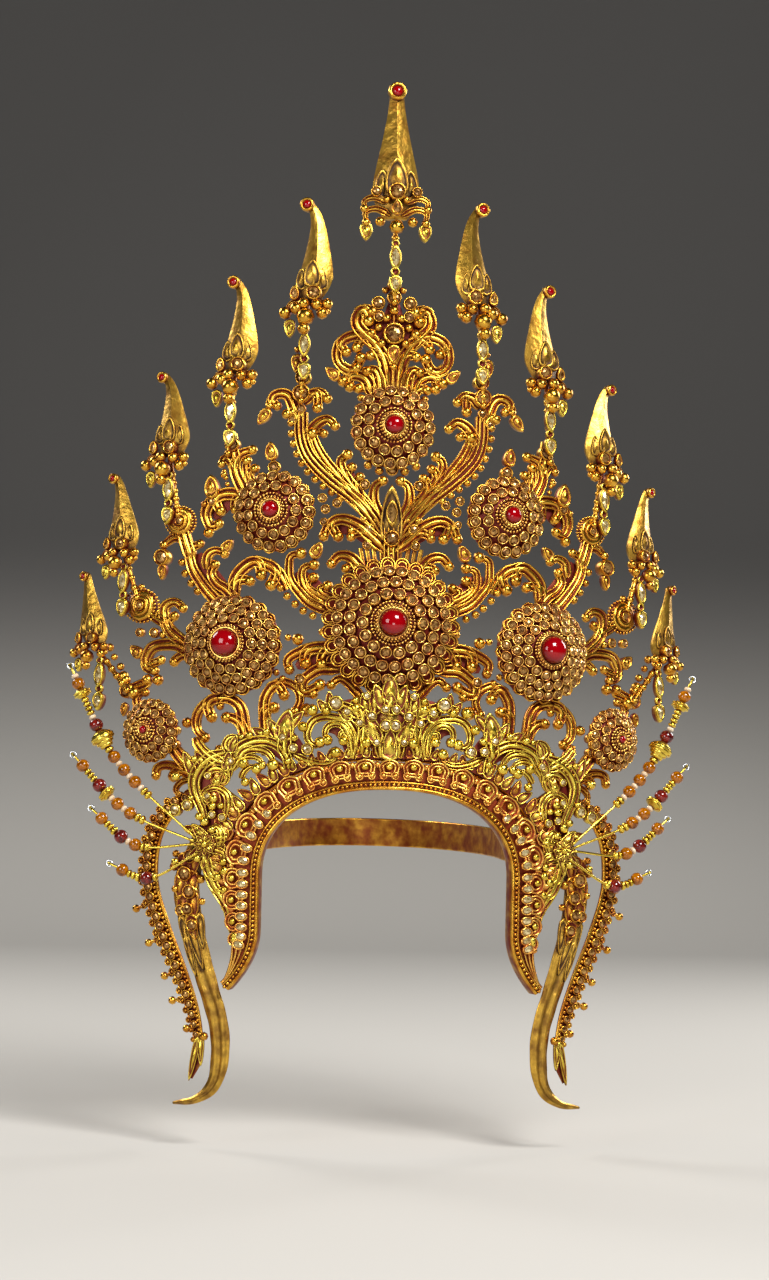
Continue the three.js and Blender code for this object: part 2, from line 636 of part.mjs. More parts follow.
function beadWire(row, word, side) {
  const angle = THREE.MathUtils.degToRad(row.start);
  const reach = HUB.radius + GAP;
  const root = new THREE.Vector2(HUB.x + reach * Math.cos(angle), HUB.z + reach * Math.sin(angle));
  const line = arc(root, new THREE.Vector2(...row.through), new THREE.Vector2(...row.tip), WIRE.steps);
  const route = new THREE.CatmullRomCurve3(line.map((point) => hubPlanePoint(point.x, point.y, side)));
  const total = route.getLength();
  const strung = row.beads.reduce((sum, kind) => sum + BEADS[kind].length, 0);
  const stations = [{ at: 0, radius: WIRE.radius }];
  let at = total - strung - WIRE.end;
  for (const kind of row.beads) {
    const { radius, length } = BEADS[kind];
    stations.push({ at, radius: WIRE.radius });
    stations.push({ at: at + BEAD_SHOULDER * length, radius });
    stations.push({ at: at + (1 - BEAD_SHOULDER) * length, radius });
    at += length;
  }
  stations.push({ at, radius: WIRE.radius }, { at: total, radius: WIRE.radius });
  return piece(`bead_wire_${word}_${row.name}`, loft(stations.map((station) => {
    const share = Math.min(station.at / total, 1);
    const centre = route.getPointAt(share);
    const along = route.getTangentAt(share);
    const across = new THREE.Vector3(0, 0, 1).cross(along).normalize();
    const up = along.clone().cross(across);
    return Array.from({ length: WIRE.sides }, (_, k) => {
      const turn = k / WIRE.sides * 2 * Math.PI;
      return centre.clone()
        .addScaledVector(across, station.radius * Math.cos(turn))
        .addScaledVector(up, station.radius * Math.sin(turn));
    });
  })), beadGlass);
}

// A row of places and widths as a smooth path with its width along it
function tapered(rows, side, steps) {
  const curve = new THREE.CatmullRomCurve3(rows.map((row) => new THREE.Vector3(row.x, row.z, row.width)));
  const points = Array.from({ length: steps + 1 }, (_, k) => curve.getPoint(k / steps));
  return {
    path: mirrored(points, side),
    widthAt: (t) => points[Math.round(t * steps)].z,
  };
}

// A leaf with a raised rib along its middle
function earBlade(word, side) {
  const { path, widthAt } = tapered(BLADE, side, BLADE_STEPS);
  const edgeLift = (EAR.back + EAR.front) / 2;
  const rings = path.map((point, k) => {
    const across = normalAt(path, k).multiplyScalar(widthAt(k / (path.length - 1)) / 2);
    const left = point.clone().add(across);
    const right = point.clone().sub(across);
    return [
      facePoint(left.x, left.y, edgeLift), facePoint(point.x, point.y, EAR.front),
      facePoint(right.x, right.y, edgeLift), facePoint(point.x, point.y, EAR.back),
    ];
  });
  return piece(`ear_blade_${word}`, loft(rings), brightGilt);
}

function earStrand(word, side) {
  const { path, widthAt } = tapered(STRAND, side, STRAND_STEPS);
  const parts = [strip(path, widthAt, EAR)];
  for (const spur of SPURS) {
    const line = [new THREE.Vector2(...spur.from), new THREE.Vector2(...spur.to)];
    parts.push(strip(mirrored(line, side), () => SPUR.width, inside(EAR, 2)));
    parts.push(ball(side * spur.to[0], spur.to[1], (EAR.back + EAR.front) / 2, SPUR.ball));
  }
  return piece(`ear_strand_${word}`, join(parts), gilt);
}

// Back band: straight arms from behind the petals, and half an ellipse round the back

function backBand() {
  const half = BAND.height / 2;
  const quarter = (grow) => Array.from({ length: BAND.steps + 1 }, (_, k) => {
    const angle = k / BAND.steps * Math.PI / 2;
    const reach = BAND.back + grow - BAND.straight;
    return [(BAND.halfWidth + grow) * Math.cos(angle), BAND.straight + reach * Math.sin(angle)];
  });
  const inner = quarter(0);
  const outer = quarter(BAND.thickness);
  const ring = ([xIn, yIn], [xOut, yOut]) => [
    new THREE.Vector3(xIn, yIn, -half), new THREE.Vector3(xIn, yIn, half),
    new THREE.Vector3(xOut, yOut, half), new THREE.Vector3(xOut, yOut, -half),
  ];
  const foot = [
    facePoint(BAND.footIn, -half, EAR.front), facePoint(BAND.footIn, half, EAR.front),
    facePoint(BAND.footOut, half, EAR.front), facePoint(BAND.footOut, -half, EAR.front),
  ];
  const right = [foot, ...inner.map((point, k) => ring(point, outer[k]))];
  const flip = ({ x, y, z }) => new THREE.Vector3(-x, y, z);
  const left = right.slice(0, -1).reverse().map((points) => points.map(flip));
  return loft([...right, ...left]);
}

const crown = new THREE.Group();
crown.add(piece("face_rim", faceRim(), gilt));
crown.add(piece("petal_band", petalBand(), gilt));
crown.add(piece("crest", crest(), brightGilt));
crown.add(piece("lattice", lattice(), gilt));
crown.add(piece("back_band", backBand(), gilt));
for (const row of onBothSides(ROSETTES)) crown.add(rosette(row), ruby(row));
for (const row of onBothSides(SPIRES)) crown.add(spire(row), spireDrop(row));
for (const [word, side] of Object.entries(SIDES)) {
  crown.add(earHub(word, side), earBlade(word, side), earStrand(word, side));
  for (const row of BEAD_WIRES) crown.add(beadWire(row, word, side));
}

export default crown;
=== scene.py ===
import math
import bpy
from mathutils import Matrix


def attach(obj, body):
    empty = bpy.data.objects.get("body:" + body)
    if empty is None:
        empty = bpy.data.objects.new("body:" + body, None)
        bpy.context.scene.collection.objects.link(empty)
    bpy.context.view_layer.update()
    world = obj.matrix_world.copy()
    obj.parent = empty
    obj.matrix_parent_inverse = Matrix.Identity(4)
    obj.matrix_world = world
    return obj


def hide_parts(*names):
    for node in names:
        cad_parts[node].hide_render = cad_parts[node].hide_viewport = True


bl_info = {
    "name": "Apsara crown",
    "version": (1, 0, 0),
    "blender": (4, 5, 0),
    "location": "View3D > Sidebar > Crown",
    "description": "Finishes a gilt openwork crown: scrollwork, rosettes, spires, beads and ears",
    "category": "Object",
}

from collections import namedtuple

import bpy
import numpy as np
from mathutils import Matrix, Vector

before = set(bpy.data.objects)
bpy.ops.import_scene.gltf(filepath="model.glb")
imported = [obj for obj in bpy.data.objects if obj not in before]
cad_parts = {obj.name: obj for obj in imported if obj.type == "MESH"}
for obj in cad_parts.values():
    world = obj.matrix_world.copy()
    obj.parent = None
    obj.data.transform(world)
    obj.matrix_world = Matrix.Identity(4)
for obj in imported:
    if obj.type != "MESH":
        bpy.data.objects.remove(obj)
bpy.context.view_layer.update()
BODY = "root"

# Places and sizes in the tables are in millimetres: x across, z up, lift out of the crown's face
MM = 0.001
# Which sides a thing drawn on the right is laid on: both, or once where it is drawn
BOTH = (-1, 1)
ONCE = (1,)
SIDES = {"left": -1, "right": 1}
FACE_RADIUS = 255
FACE_FRONT = -100
BROW = 36
BROW_BLEND = 30
LEAN = math.tan(math.radians(7))


def linear(hex_colour):
    """An sRGB hex colour as linear red, green, blue and alpha."""
    parts = [int(hex_colour[k : k + 2], 16) / 255 for k in (1, 3, 5)]
    return [p / 12.92 if p <= 0.04045 else ((p + 0.055) / 1.055) ** 2.4 for p in parts] + [1.0]


def colour(label, use, hex_colour):
    return bpy.props.FloatVectorProperty(
        name=label, description=use, subtype="COLOR", size=4, min=0, max=1, default=linear(hex_colour)
    )


def length(label, use, millimetres):
    return bpy.props.FloatProperty(
        name=label, description=use, subtype="DISTANCE", unit="LENGTH", min=0, default=millimetres * MM
    )


class CrownColours(bpy.types.PropertyGroup):
    """Colours of the crown's finishes and of the stage."""

    gold: colour("Gold", "Old gilding on the scrolls", "#E9B442")
    gold_shade: colour("Gold shade", "Deeper tone in the old gilding", "#B67323")
    bright: colour("Bright gold", "Fresh gilding on the crest", "#F4D656")
    bright_shade: colour("Bright gold shade", "Deeper tone in the fresh gilding", "#C09A2A")
    flame: colour("Burnished gold", "Rubbed gilding on the spires and blades", "#D0A341")
    flame_shade: colour("Burnished gold shade", "Deeper tone in the rubbed gilding", "#9A6A26")
    # Painted shade as well as lacquer: the petals' gilding takes this colour in its recesses and where
    # ambient occlusion darkens it
    copper_lacquer_and_shade: colour("Copper", "Orange lacquer under the petals' gilding", "#963A10")
    # Painted shade as well as tarnish: the rubbed gilding takes this colour in its folds and where ambient
    # occlusion darkens it
    umber_tarnish_and_shade: colour("Umber", "Dark tarnish in the folds of the rubbed gilding", "#3E240E")
    rose: colour("Red gold", "Coppery gilding on the petals", "#FAC45C")
    rose_shade: colour("Red gold shade", "Red tone in the coppery gilding", "#D07C34")
    bezel: colour("Bezel gold", "Rubbed gilding on the stone settings", "#F9C964")
    bezel_shade: colour("Bezel shade", "Rosy tone in the stone settings", "#B4662A")
    # Painted shade as well as lacquer: the gilding takes this colour in its recesses and where ambient
    # occlusion darkens it
    lacquer: colour("Lacquer", "Red-brown lacquer left in the recesses", "#6C1C0A")
    ruby: colour("Ruby", "Red glass cabochons", "#930008")
    # Painted shade: the red glass is darkened to this colour towards its setting
    ruby_edge: colour("Ruby edge", "Red glass near its setting", "#2E0003")
    # Painted reflections: the foil-backed stones are patched at random with this bright tone and with the
    # dark one below it
    crystal: colour("Crystal", "Bright facets of the foil-backed stones", "#CC9C56")
    crystal_painted_dark_facets: colour("Crystal shade", "Dark facets of the foil-backed stones", "#583010")
    # Painted reflections: the stones on the petals and drops are patched at random with this pale tone and
    # with the dark one below it
    clear: colour("Clear crystal", "Bright facets of the stones on the petals and drops", "#F7E6B0")
    clear_painted_dark_facets: colour("Clear crystal shade", "Dark facets of the stones on the petals and drops", "#A07C38")
    amber: colour("Amber", "Amber glass beads", "#AC6400")
    amber_swirl: colour("Amber swirl", "Dark streaks in the amber glass", "#643000")
    garnet: colour("Garnet", "Dark red glass beads", "#7A1A12")
    garnet_swirl: colour("Garnet swirl", "Dark streaks in the red glass", "#36060A")
    pearl: colour("Pearl", "Small white beads", "#EDE4CF")
    silver: colour("Silver", "Wire loops at the ends of the bead wires", "#CFD3D6")
    floor: colour("Floor", "Floor", "#BFBBB4")
    backdrop: colour("Backdrop", "Backdrop above the floor", "#4C4A48")


class CrownSizes(bpy.types.PropertyGroup):
    """Sizes of what repeats on the crown."""

    rim_bead: length("Rim bead radius", "Radius of the beads along the rim", 1.25)
    rim_pitch: length("Rim bead pitch", "Distance between beads along the rim", 2.9)
    granule: length("Granule radius", "Radius of the granules round a ruby", 1.0)
    petals: bpy.props.IntProperty(name="Petals", description="Petals along the rim", default=27, min=3)
    settings_tilt: bpy.props.FloatProperty(
        name="Setting tilt", description="How far rosette settings lean outwards",
        subtype="ANGLE", unit="ROTATION", default=math.radians(26),
    )


# The crown's face


def face(x, z, lift):
    """Points on the curved face in metres, and the directions out of it."""
    x, z, lift = np.broadcast_arrays(*(np.asarray(v, float) for v in (x, z, lift)))
    depth = np.sqrt(FACE_RADIUS**2 - x**2)
    above = z - BROW
    rise = np.hypot(above, BROW_BLEND)
    out = np.stack((x / depth, -np.ones_like(x), LEAN * (1 + above / rise) / 2), -1)
    out /= np.linalg.norm(out, axis=-1, keepdims=True)
    back = FACE_FRONT + FACE_RADIUS - depth + LEAN * (above + rise) / 2
    return (np.stack((x, back, z), -1) + out * lift[..., None]) * MM, out


def face_axes(out):
    """Directions across and up the face where out points out of it."""
    across = np.cross((0, 0, 1), out)
    across /= np.linalg.norm(across, axis=-1, keepdims=True)
    return across, np.cross(out, across)


def face_matrix(x, z, lift):
    """The frame of one place on the face: X across, Y up, Z out."""
    point, out = face(x, z, lift)
    across, up = face_axes(out)
    matrix = Matrix.Identity(4)
    for row in range(3):
        matrix[row] = (across[row], up[row], out[row], point[row])
    return matrix


def bend(mesh):
    """Lays a mesh made flat, in millimetres, onto the face."""
    flat = np.empty(len(mesh.vertices) * 3)
    mesh.vertices.foreach_get("co", flat)
    flat = flat.reshape(-1, 3)
    points, _ = face(flat[:, 0], flat[:, 1], flat[:, 2])
    mesh.vertices.foreach_set("co", points.ravel())
    mesh.update()
    return mesh


# Paths on the face, as rows of x and z

STEPS_BETWEEN_KNOTS = 12


def along_line(line):
    """How far along a line each of its points is."""
    return np.concatenate(([0], np.cumsum(np.linalg.norm(np.diff(line, axis=0), axis=1))))


def evenly(line, step):
    """The same line with a point about every step along it."""
    line = np.asarray(line, float)
    along = along_line(line[:, :2])
    count = max(4, round(along[-1] / step) + 1)
    at = np.linspace(0, along[-1], count)
    return np.stack([np.interp(at, along, column) for column in line.T], -1)


def smooth(knots, step):
    """An even line on the smooth curve through the knots."""
    knots = np.asarray(knots, float)
    ends = (2 * knots[0] - knots[1], 2 * knots[-1] - knots[-2])
    padded = np.vstack((ends[0], knots, ends[1]))
    share = np.linspace(0, 1, STEPS_BETWEEN_KNOTS, endpoint=False)[:, None]
    stretches = [
        b
        + share * (c - a) / 2
        + share**2 * (a - 2.5 * b + 2 * c - d / 2)
        + share**3 * (1.5 * (b - c) + (d - a) / 2)
        for a, b, c, d in zip(padded, padded[1:], padded[2:], padded[3:])
    ]
    return evenly(np.vstack(stretches + [knots[-1:]]), step)


def headings(path):
    """The direction of a path at each of its points, as angles."""
    along = np.gradient(path[:, :2], axis=0)
    return np.arctan2(along[:, 1], along[:, 0])


def offset(path, distance):
    """The path moved to its left."""
    angle = headings(path)
    return path[:, :2] + np.stack((-np.sin(angle), np.cos(angle)), -1) * np.reshape(distance, (-1, 1))


# Meshes


def new_mesh(name, points, faces=(), edges=(), smooth_faces=True, **attributes):
    """A mesh with float or vector attributes on its points."""
    mesh = bpy.data.meshes.new(name)
    mesh.from_pydata(np.asarray(points, float).tolist(), edges, faces)
    for label, values in attributes.items():
        values = np.asarray(values, float)
        kind, key = ("FLOAT_VECTOR", "vector") if values.ndim == 2 else ("FLOAT", "value")
        mesh.attributes.new(label, kind, "POINT").data.foreach_set(key, values.ravel())
    mesh.polygons.foreach_set("use_smooth", [smooth_faces] * len(mesh.polygons))
    return mesh


def tube_faces(rings, around):
    """Quads between rings of points, and the rings' two end faces."""
    faces = []
    for ring in range(rings - 1):
        for k in range(around):
            a, b = ring * around + k, ring * around + (k + 1) % around
            faces.append((a, b, b + around, a + around))
    last = (rings - 1) * around
    return faces + [tuple(reversed(range(around))), tuple(range(last, last + around))]


def loft(name, rings, patina, ridges=()):
    """A closed flat-laid skin over rings of points, with sharp edges along the ridges' columns."""
    count, around = rings.shape[:2]
    mesh = new_mesh(name, rings.reshape(-1, 3), tube_faces(count, around), patina=np.ravel(patina))
    if ridges:
        ends = np.empty(len(mesh.edges) * 2, int)
        mesh.edges.foreach_get("vertices", ends)
        columns = ends.reshape(-1, 2) % around
        sharp = (columns[:, 0] == columns[:, 1]) & np.isin(columns[:, 0], ridges)
        mesh.attributes.new("sharp_edge", "BOOLEAN", "EDGE").data.foreach_set("value", sharp)
    return mesh


# Shapes that repeat: an outline of unit size raised through levels of share, height and patina, which marks
# lacquer and painted shade in the hollows

# Half widths below this are points
CLOSED = 1e-6
# Where a petal's sides meet its arch
ARCH_SPRING = 0.09


def circle(sides):
    angle = np.arange(sides) / sides * 2 * math.pi
    return np.stack((np.cos(angle), np.sin(angle)), -1)


def pointed(half_at, steps):
    """A closed outline of unit length whose half width follows a rule from its foot to its tip."""
    rise = np.linspace(-1, 1, steps)
    half = np.array([half_at(y) for y in rise])
    right = np.stack((half, rise), -1)
    left = right[::-1] * (-1, 1)
    return np.vstack((right, left[left[:, 0] < -CLOSED]))


def arch_half(y):
    """Half width of an arched petal: sides that widen to the spring of the arch, and a rounded top."""
    if y < ARCH_SPRING:
        return 0.76 + 0.22 * (y + 1)
    return (1 - ((y - ARCH_SPRING) / (1 - ARCH_SPRING)) ** 2) ** 0.55


# Each shape's outline, and its levels as share, height and patina with painted shade
RELIEFS = {
    "ball": (circle(8), [
        (0, -1, 1), (0.7, -0.7, 0.9), (1, -0.1, 0.4), (0.82, 0.57, 0.05), (0.42, 0.9, 0), (0, 1, 0),
    ]),
    "bezel": (circle(12), [
        (0.86, -0.9, 1), (1, -0.4, 0.75), (1, 0.3, 0.1), (0.91, 0.6, 0), (0.81, 0.56, 0.1),
        (0.75, 0.2, 0.8), (0, 0.1, 1),
    ]),
    "stone": (circle(8), [
        (0.73, 0.1, 0.3), (0.73, 0.34, 0), (0.5, 0.56, 0), (0.22, 0.64, 0), (0, 0.64, 0),
    ]),
    "cabochon": (circle(20), [
        (1, -0.2, 1), (1, 0.1, 0.9), (0.94, 0.36, 0.5), (0.78, 0.58, 0.2), (0.52, 0.75, 0.05),
        (0.26, 0.83, 0), (0, 0.85, 0),
    ]),
    "oval": (circle(11), [
        (0.8, -0.6, 1), (1, -0.1, 0.8), (1, 0.3, 0.2), (0.88, 0.55, 0), (0.76, 0.5, 0.1),
        (0.7, 0.22, 0.9), (0, 0.18, 1),
    ]),
    "disc": (circle(28), [(1, -1, 1), (1, 0.6, 0.8), (0.94, 1, 0.6), (0, 1, 1)]),
    "ring": (circle(12), [
        (0.7, -0.4, 1), (1, -0.3, 0.9), (1.0, 0.2, 0.3), (0.84, 0.5, 0), (0.66, 0.4, 0.2),
        (0.5, -0.1, 0.95), (0, -0.1, 1),
    ]),
    "marquise": (pointed(lambda y: (1 - y * y) ** 0.8, 9), [
        (0.9, -0.5, 1), (1, 0, 0.9), (1, 0.4, 0.3), (0.88, 0.6, 0), (0.74, 0.52, 0.1), (0.66, 0.25, 0.9),
        (0, 0.2, 1),
    ]),
    "pear": (pointed(lambda y: (1 - y) ** 0.75 * (1 + y) ** 0.42 * 0.86, 11), [
        (0.9, -0.5, 1), (1, 0, 0.9), (1, 0.4, 0.3), (0.86, 0.66, 0), (0.72, 0.58, 0.1), (0.62, 0.4, 0.8),
        (0.4, 0.62, 0.2), (0, 0.74, 0),
    ]),
    "arch": (pointed(arch_half, 15), [
        (0.98, -0.3, 1), (1, 0.2, 0.5), (0.95, 0.62, 0), (0.83, 0.6, 0), (0.76, 0.2, 1), (0.7, 0.2, 1),
        (0.63, 0.52, 0), (0.52, 0.5, 0.1), (0.44, 0.16, 1), (0, 0.2, 0.75),
    ]),
    "leaf": (pointed(lambda y: (1 - y) ** 0.7 * (1 + y) ** 0.3 * 0.8, 11), [
        (0.96, -0.3, 1), (1, 0.1, 0.7), (0.95, 0.5, 0), (0.83, 0.5, 0.1), (0.74, 0.15, 1),
        (0.5, 0.3, 0.6), (0.16, 0.75, 0), (0, 0.78, 0),
    ]),
}
GEMS = {"marquise_stone": "marquise", "pear_stone": "pear", "oval_stone": "oval"}
GEM_LEVELS = [(0.72, 0.2, 0), (0.64, 0.45, 0), (0.34, 0.7, 0), (0, 0.72, 0)]
FACETED = {"stone", *GEMS}


def mirrored(right):
    """A section that is alike on both sides, from its right half listed from the back to the front."""
    left = [(-across, out, patina_and_shade_level) for across, out, patina_and_shade_level in reversed(right) if across]
    return left[-1:] + right + left[:-1]


# Sections of strips, as shares of the half width: across, out, and patina with painted shade in the grooves
SECTIONS = {
    "scroll": mirrored([
        (0.5, -0.5, 1), (0.96, -0.2, 0.9), (1, 0.3, 0.3), (0.9, 0.74, 0), (0.76, 0.7, 0), (0.67, 0.2, 1),
        (0.54, 0.2, 1), (0.45, 0.76, 0), (0.2, 0.8, 0), (0.1, 0.3, 1),
    ]),
    "ribbon": mirrored([
        (0.5, -0.5, 1), (0.96, -0.2, 0.9), (1, 0.3, 0.3), (0.9, 0.74, 0), (0.72, 0.68, 0), (0.6, 0.16, 1),
        (0.44, 0.14, 1), (0.32, 0.64, 0), (0, 0.84, 0),
    ]),
    "twig": mirrored([(0.6, -0.6, 1), (1, 0, 0.6), (0.62, 0.72, 0), (0, 0.5, 0.45)]),
    "wire": [(u, v, 0.45 - 0.45 * v) for u, v in circle(8)],
    "bar": [
        (-1, -1.6, 1), (1, -1.6, 1), (1, 1.5, 0.8), (0.7, 1.7, 0.9), (-0.7, 1.7, 0.9), (-1, 1.5, 0.7),
    ],
    "bed": mirrored([(1, -0.1, 1), (1, 0.06, 1), (0.94, 0.08, 1)]),
    "plate": mirrored([(1, -0.09, 1), (1, 0.07, 0.8), (0.94, 0.09, 0.8)]),
}
_shapes = {}


def relief(outline, levels, smooth_faces):
    """A closed mesh of one outline raised through levels."""
    around = len(outline)
    points, patina, faces, ring = [], [], [], None
    for share, height, patina_and_shade_level in levels:
        start = len(points)
        single = share == 0
        points.extend([(0, 0, height)] if single else [(x * share, y * share, height) for x, y in outline])
        patina.extend([patina_and_shade_level] * (len(points) - start))
        for k in range(around) if ring is not None else ():
            low, low_next = (ring[k % len(ring)], ring[(k + 1) % len(ring)])
            high, high_next = (start, start) if single else (start + k, start + (k + 1) % around)
            corners = [low, low_next, high_next, high]
            faces.append(list(dict.fromkeys(corners)))
        ring = [start] if single else list(range(start, start + around))
        if start == 0 and not single:
            faces.append(ring[::-1])
    return new_mesh("shape", points, faces, smooth_faces=smooth_faces, patina=patina)


def shape(name):
    """The object of a shape or strip section that node trees repeat; it is never shown itself."""
    if name not in _shapes:
        if name in SECTIONS:
            rows = SECTIONS[name][::-1]
            loop = [(k, (k + 1) % len(rows)) for k in range(len(rows))]
            points = [(across, -out, 0) for across, out, _ in rows]
            mesh = new_mesh(name, points, edges=loop, patina=[patina_and_shade_level for _, _, patina_and_shade_level in rows])
        elif name in GEMS:
            mesh = relief(RELIEFS[GEMS[name]][0], GEM_LEVELS, False)
        else:
            mesh = relief(*RELIEFS[name], name not in FACETED)
        _shapes[name] = bpy.data.objects.new("shape_" + name, mesh)
    return _shapes[name]


# Nodes


def add(tree, kind, settings=None, links=None):
    """A node with its settings, and its inputs set to values or linked to other nodes' outputs."""
    node = tree.nodes.new(kind)
    for key, value in (settings or {}).items():
        setattr(node, key, value)
    for key, value in (links or {}).items():
        if isinstance(value, bpy.types.NodeSocket):
            tree.links.new(value, node.inputs[key])
        else:
            node.inputs[key].default_value = value
    return node


def new_tree(name, inputs):
    """An empty geometry tree with named inputs, and its input node's outputs."""
    tree = bpy.data.node_groups.new(name, "GeometryNodeTree")
    for label, kind in [("Geometry", "Geometry"), *inputs, ("Material", "Material")]:
        tree.interface.new_socket(label, in_out="INPUT", socket_type="NodeSocket" + kind)
    tree.interface.new_socket("Geometry", in_out="OUTPUT", socket_type="NodeSocketGeometry")
    return tree, add(tree, "NodeGroupInput").outputs


def end_tree(tree, geometry, given):
    """Realizes what the tree repeats and gives it its material."""
    real = add(tree, "GeometryNodeRealizeInstances", links={"Geometry": geometry})
    done = add(tree, "GeometryNodeSetMaterial", links={
        "Geometry": real.outputs[0], "Material": given["Material"],
    })
    add(tree, "NodeGroupOutput", links={"Geometry": done.outputs[0]})
    return tree


def strip_tree():
    """Strips that carry one section along every path of the carrier, as wide as its half attribute says."""
    tree, given = new_tree("Strips along paths", [("Section", "Object")])
    paths = add(tree, "GeometryNodeMeshToCurve", links={"Mesh": given["Geometry"]})
    level = add(tree, "GeometryNodeSetCurveNormal", {"mode": "Z_UP"}, {"Curve": paths.outputs[0]})
    section = add(tree, "GeometryNodeObjectInfo", links={"Object": given["Section"]})
    profile = add(tree, "GeometryNodeMeshToCurve", links={"Mesh": section.outputs["Geometry"]})
    half = add(tree, "GeometryNodeInputNamedAttribute", {"data_type": "FLOAT"}, {"Name": "half"})
    swept = add(tree, "GeometryNodeCurveToMesh", links={
        "Curve": level.outputs[0], "Profile Curve": profile.outputs[0],
        "Scale": half.outputs["Attribute"], "Fill Caps": True,
    })
    return end_tree(tree, swept.outputs[0], given)


def setting_tree():
    """One shape at every point of the carrier, turned and sized by the points' attributes."""
    tree, given = new_tree("Shapes set at points", [("Shape", "Object")])
    item = add(tree, "GeometryNodeObjectInfo", links={"Object": given["Shape"], "As Instance": True})
    facing, up, size = (
        add(tree, "GeometryNodeInputNamedAttribute", {"data_type": "FLOAT_VECTOR"}, {"Name": label})
        for label in ("facing", "up", "size")
    )
    turned = add(tree, "FunctionNodeAxesToRotation", {"primary_axis": "Z", "secondary_axis": "Y"}, {
        "Primary Axis": facing.outputs["Attribute"], "Secondary Axis": up.outputs["Attribute"],
    })
    laid = add(tree, "GeometryNodeInstanceOnPoints", links={
        "Points": given["Geometry"], "Instance": item.outputs["Geometry"],
        "Rotation": turned.outputs[0], "Scale": size.outputs["Attribute"],
    })
    return end_tree(tree, laid.outputs[0], given)


def row_tree():
    """Beads spaced evenly along every path of the carrier."""
    inputs = [("Shape", "Object"), ("Pitch", "Float"), ("Radius", "Float")]
    tree, given = new_tree("Beads along paths", inputs)
    paths = add(tree, "GeometryNodeMeshToCurve", links={"Mesh": given["Geometry"]})
    spaced = add(tree, "GeometryNodeResampleCurve", {"mode": "LENGTH"}, {
        "Curve": paths.outputs[0], "Length": given["Pitch"],
    })
    item = add(tree, "GeometryNodeObjectInfo", links={"Object": given["Shape"], "As Instance": True})
    turned = add(tree, "FunctionNodeAxesToRotation", {"primary_axis": "Z", "secondary_axis": "X"}, {
        "Primary Axis": (0, -1, 0), "Secondary Axis": (1, 0, 0),
    })
    laid = add(tree, "GeometryNodeInstanceOnPoints", links={
        "Points": spaced.outputs[0], "Instance": item.outputs["Geometry"],
        "Rotation": turned.outputs[0], "Scale": given["Radius"],
    })
    return end_tree(tree, laid.outputs[0], given)


def ring_tree():
    """A ring of one shape round the carrier's axis, leaning outwards."""
    inputs = [("Shape", "Object"), ("Count", "Int"), ("Ring radius", "Float"), ("Height", "Float"),
              ("Size", "Vector"), ("Tilt", "Float")]
    tree, given = new_tree("Ring of settings", inputs)
    ring = add(tree, "GeometryNodeMeshCircle", links={
        "Vertices": given["Count"], "Radius": given["Ring radius"],
    })
    place = add(tree, "GeometryNodeInputPosition")
    outward = add(tree, "ShaderNodeVectorMath", {"operation": "NORMALIZE"}, {0: place.outputs[0]})
    lean = add(tree, "ShaderNodeMath", {"operation": "TANGENT"}, {0: given["Tilt"]})
    sideways = add(tree, "ShaderNodeVectorMath", {"operation": "SCALE"}, {
        0: outward.outputs[0], "Scale": lean.outputs[0],
    })
    facing = add(tree, "ShaderNodeVectorMath", {"operation": "ADD"}, {0: sideways.outputs[0], 1: (0, 0, 1)})
    turned = add(tree, "FunctionNodeAxesToRotation", {"primary_axis": "Z", "secondary_axis": "Y"}, {
        "Primary Axis": facing.outputs[0], "Secondary Axis": outward.outputs[0],
    })
    item = add(tree, "GeometryNodeObjectInfo", links={"Object": given["Shape"], "As Instance": True})
    laid = add(tree, "GeometryNodeInstanceOnPoints", links={
        "Points": ring.outputs[0], "Instance": item.outputs["Geometry"],
        "Rotation": turned.outputs[0], "Scale": given["Size"],
    })
    rise = add(tree, "ShaderNodeCombineXYZ", links={"Z": given["Height"]})
    lifted = add(tree, "GeometryNodeTransform", links={
        "Geometry": laid.outputs[0], "Translation": rise.outputs[0],
    })
    return end_tree(tree, lifted.outputs[0], given)


TREE_MAKERS = {"strip": strip_tree, "setting": setting_tree, "row": row_tree, "ring": ring_tree}
_trees = {}


def made_by(tree_name, mesh, **inputs):
    """The plain mesh that a tree makes on a carrier mesh."""
    if tree_name not in _trees:
        _trees[tree_name] = TREE_MAKERS[tree_name]()
    tree = _trees[tree_name]
    carrier = bpy.data.objects.new("carrier", mesh)
    bpy.context.scene.collection.objects.link(carrier)
    modifier = carrier.modifiers.new(tree.name, "NODES")
    modifier.node_group = tree
    for socket in tree.interface.items_tree:
        key = socket.name.replace(" ", "_").lower()
        if socket.in_out == "INPUT" and key in inputs:
            modifier[socket.identifier] = inputs[key]
    graph = bpy.context.evaluated_depsgraph_get()
    evaluated = carrier.evaluated_get(graph)
    made = bpy.data.meshes.new_from_object(evaluated, preserve_all_data_layers=True, depsgraph=graph)
    bpy.data.objects.remove(carrier)
    bpy.data.meshes.remove(mesh)
    return made


# Finishes: patterns by their real sizes in millimetres

MOTTLE = 7
# How far ambient occlusion reaches for the gilding's painted shade
RECESS = 6
# Size of the patches of painted reflection on cut glass
FACET = 1.5
GLASS_STREAK = 4
PEARL_CAST = 3
WIRE_PATCH = 2
# The floor's height, and heights above it between which its paint turns to the backdrop's, in metres
FLOOR_HEIGHT = -0.19
FADE_FROM = 0.01
FADE_TO = 0.45
# Heights between which the gilding grows redder downwards, in metres
RED_FROM = 0.22
RED_TO = 0.06
_finishes = {}


def finish(name):
    """The material of that finish."""
    if name not in _finishes:
        _finishes[name] = FINISH_MAKERS[name](bpy.context.scene.crown_colours)
    return _finishes[name]


def new_material(name):
    material = bpy.data.materials.new(name)
    material.use_nodes = True
    return material, material.node_tree, material.node_tree.nodes["Principled BSDF"]


def per_mm(millimetres):
    """The texture scale whose pattern is about that long."""
    return 1 / (millimetres * MM)


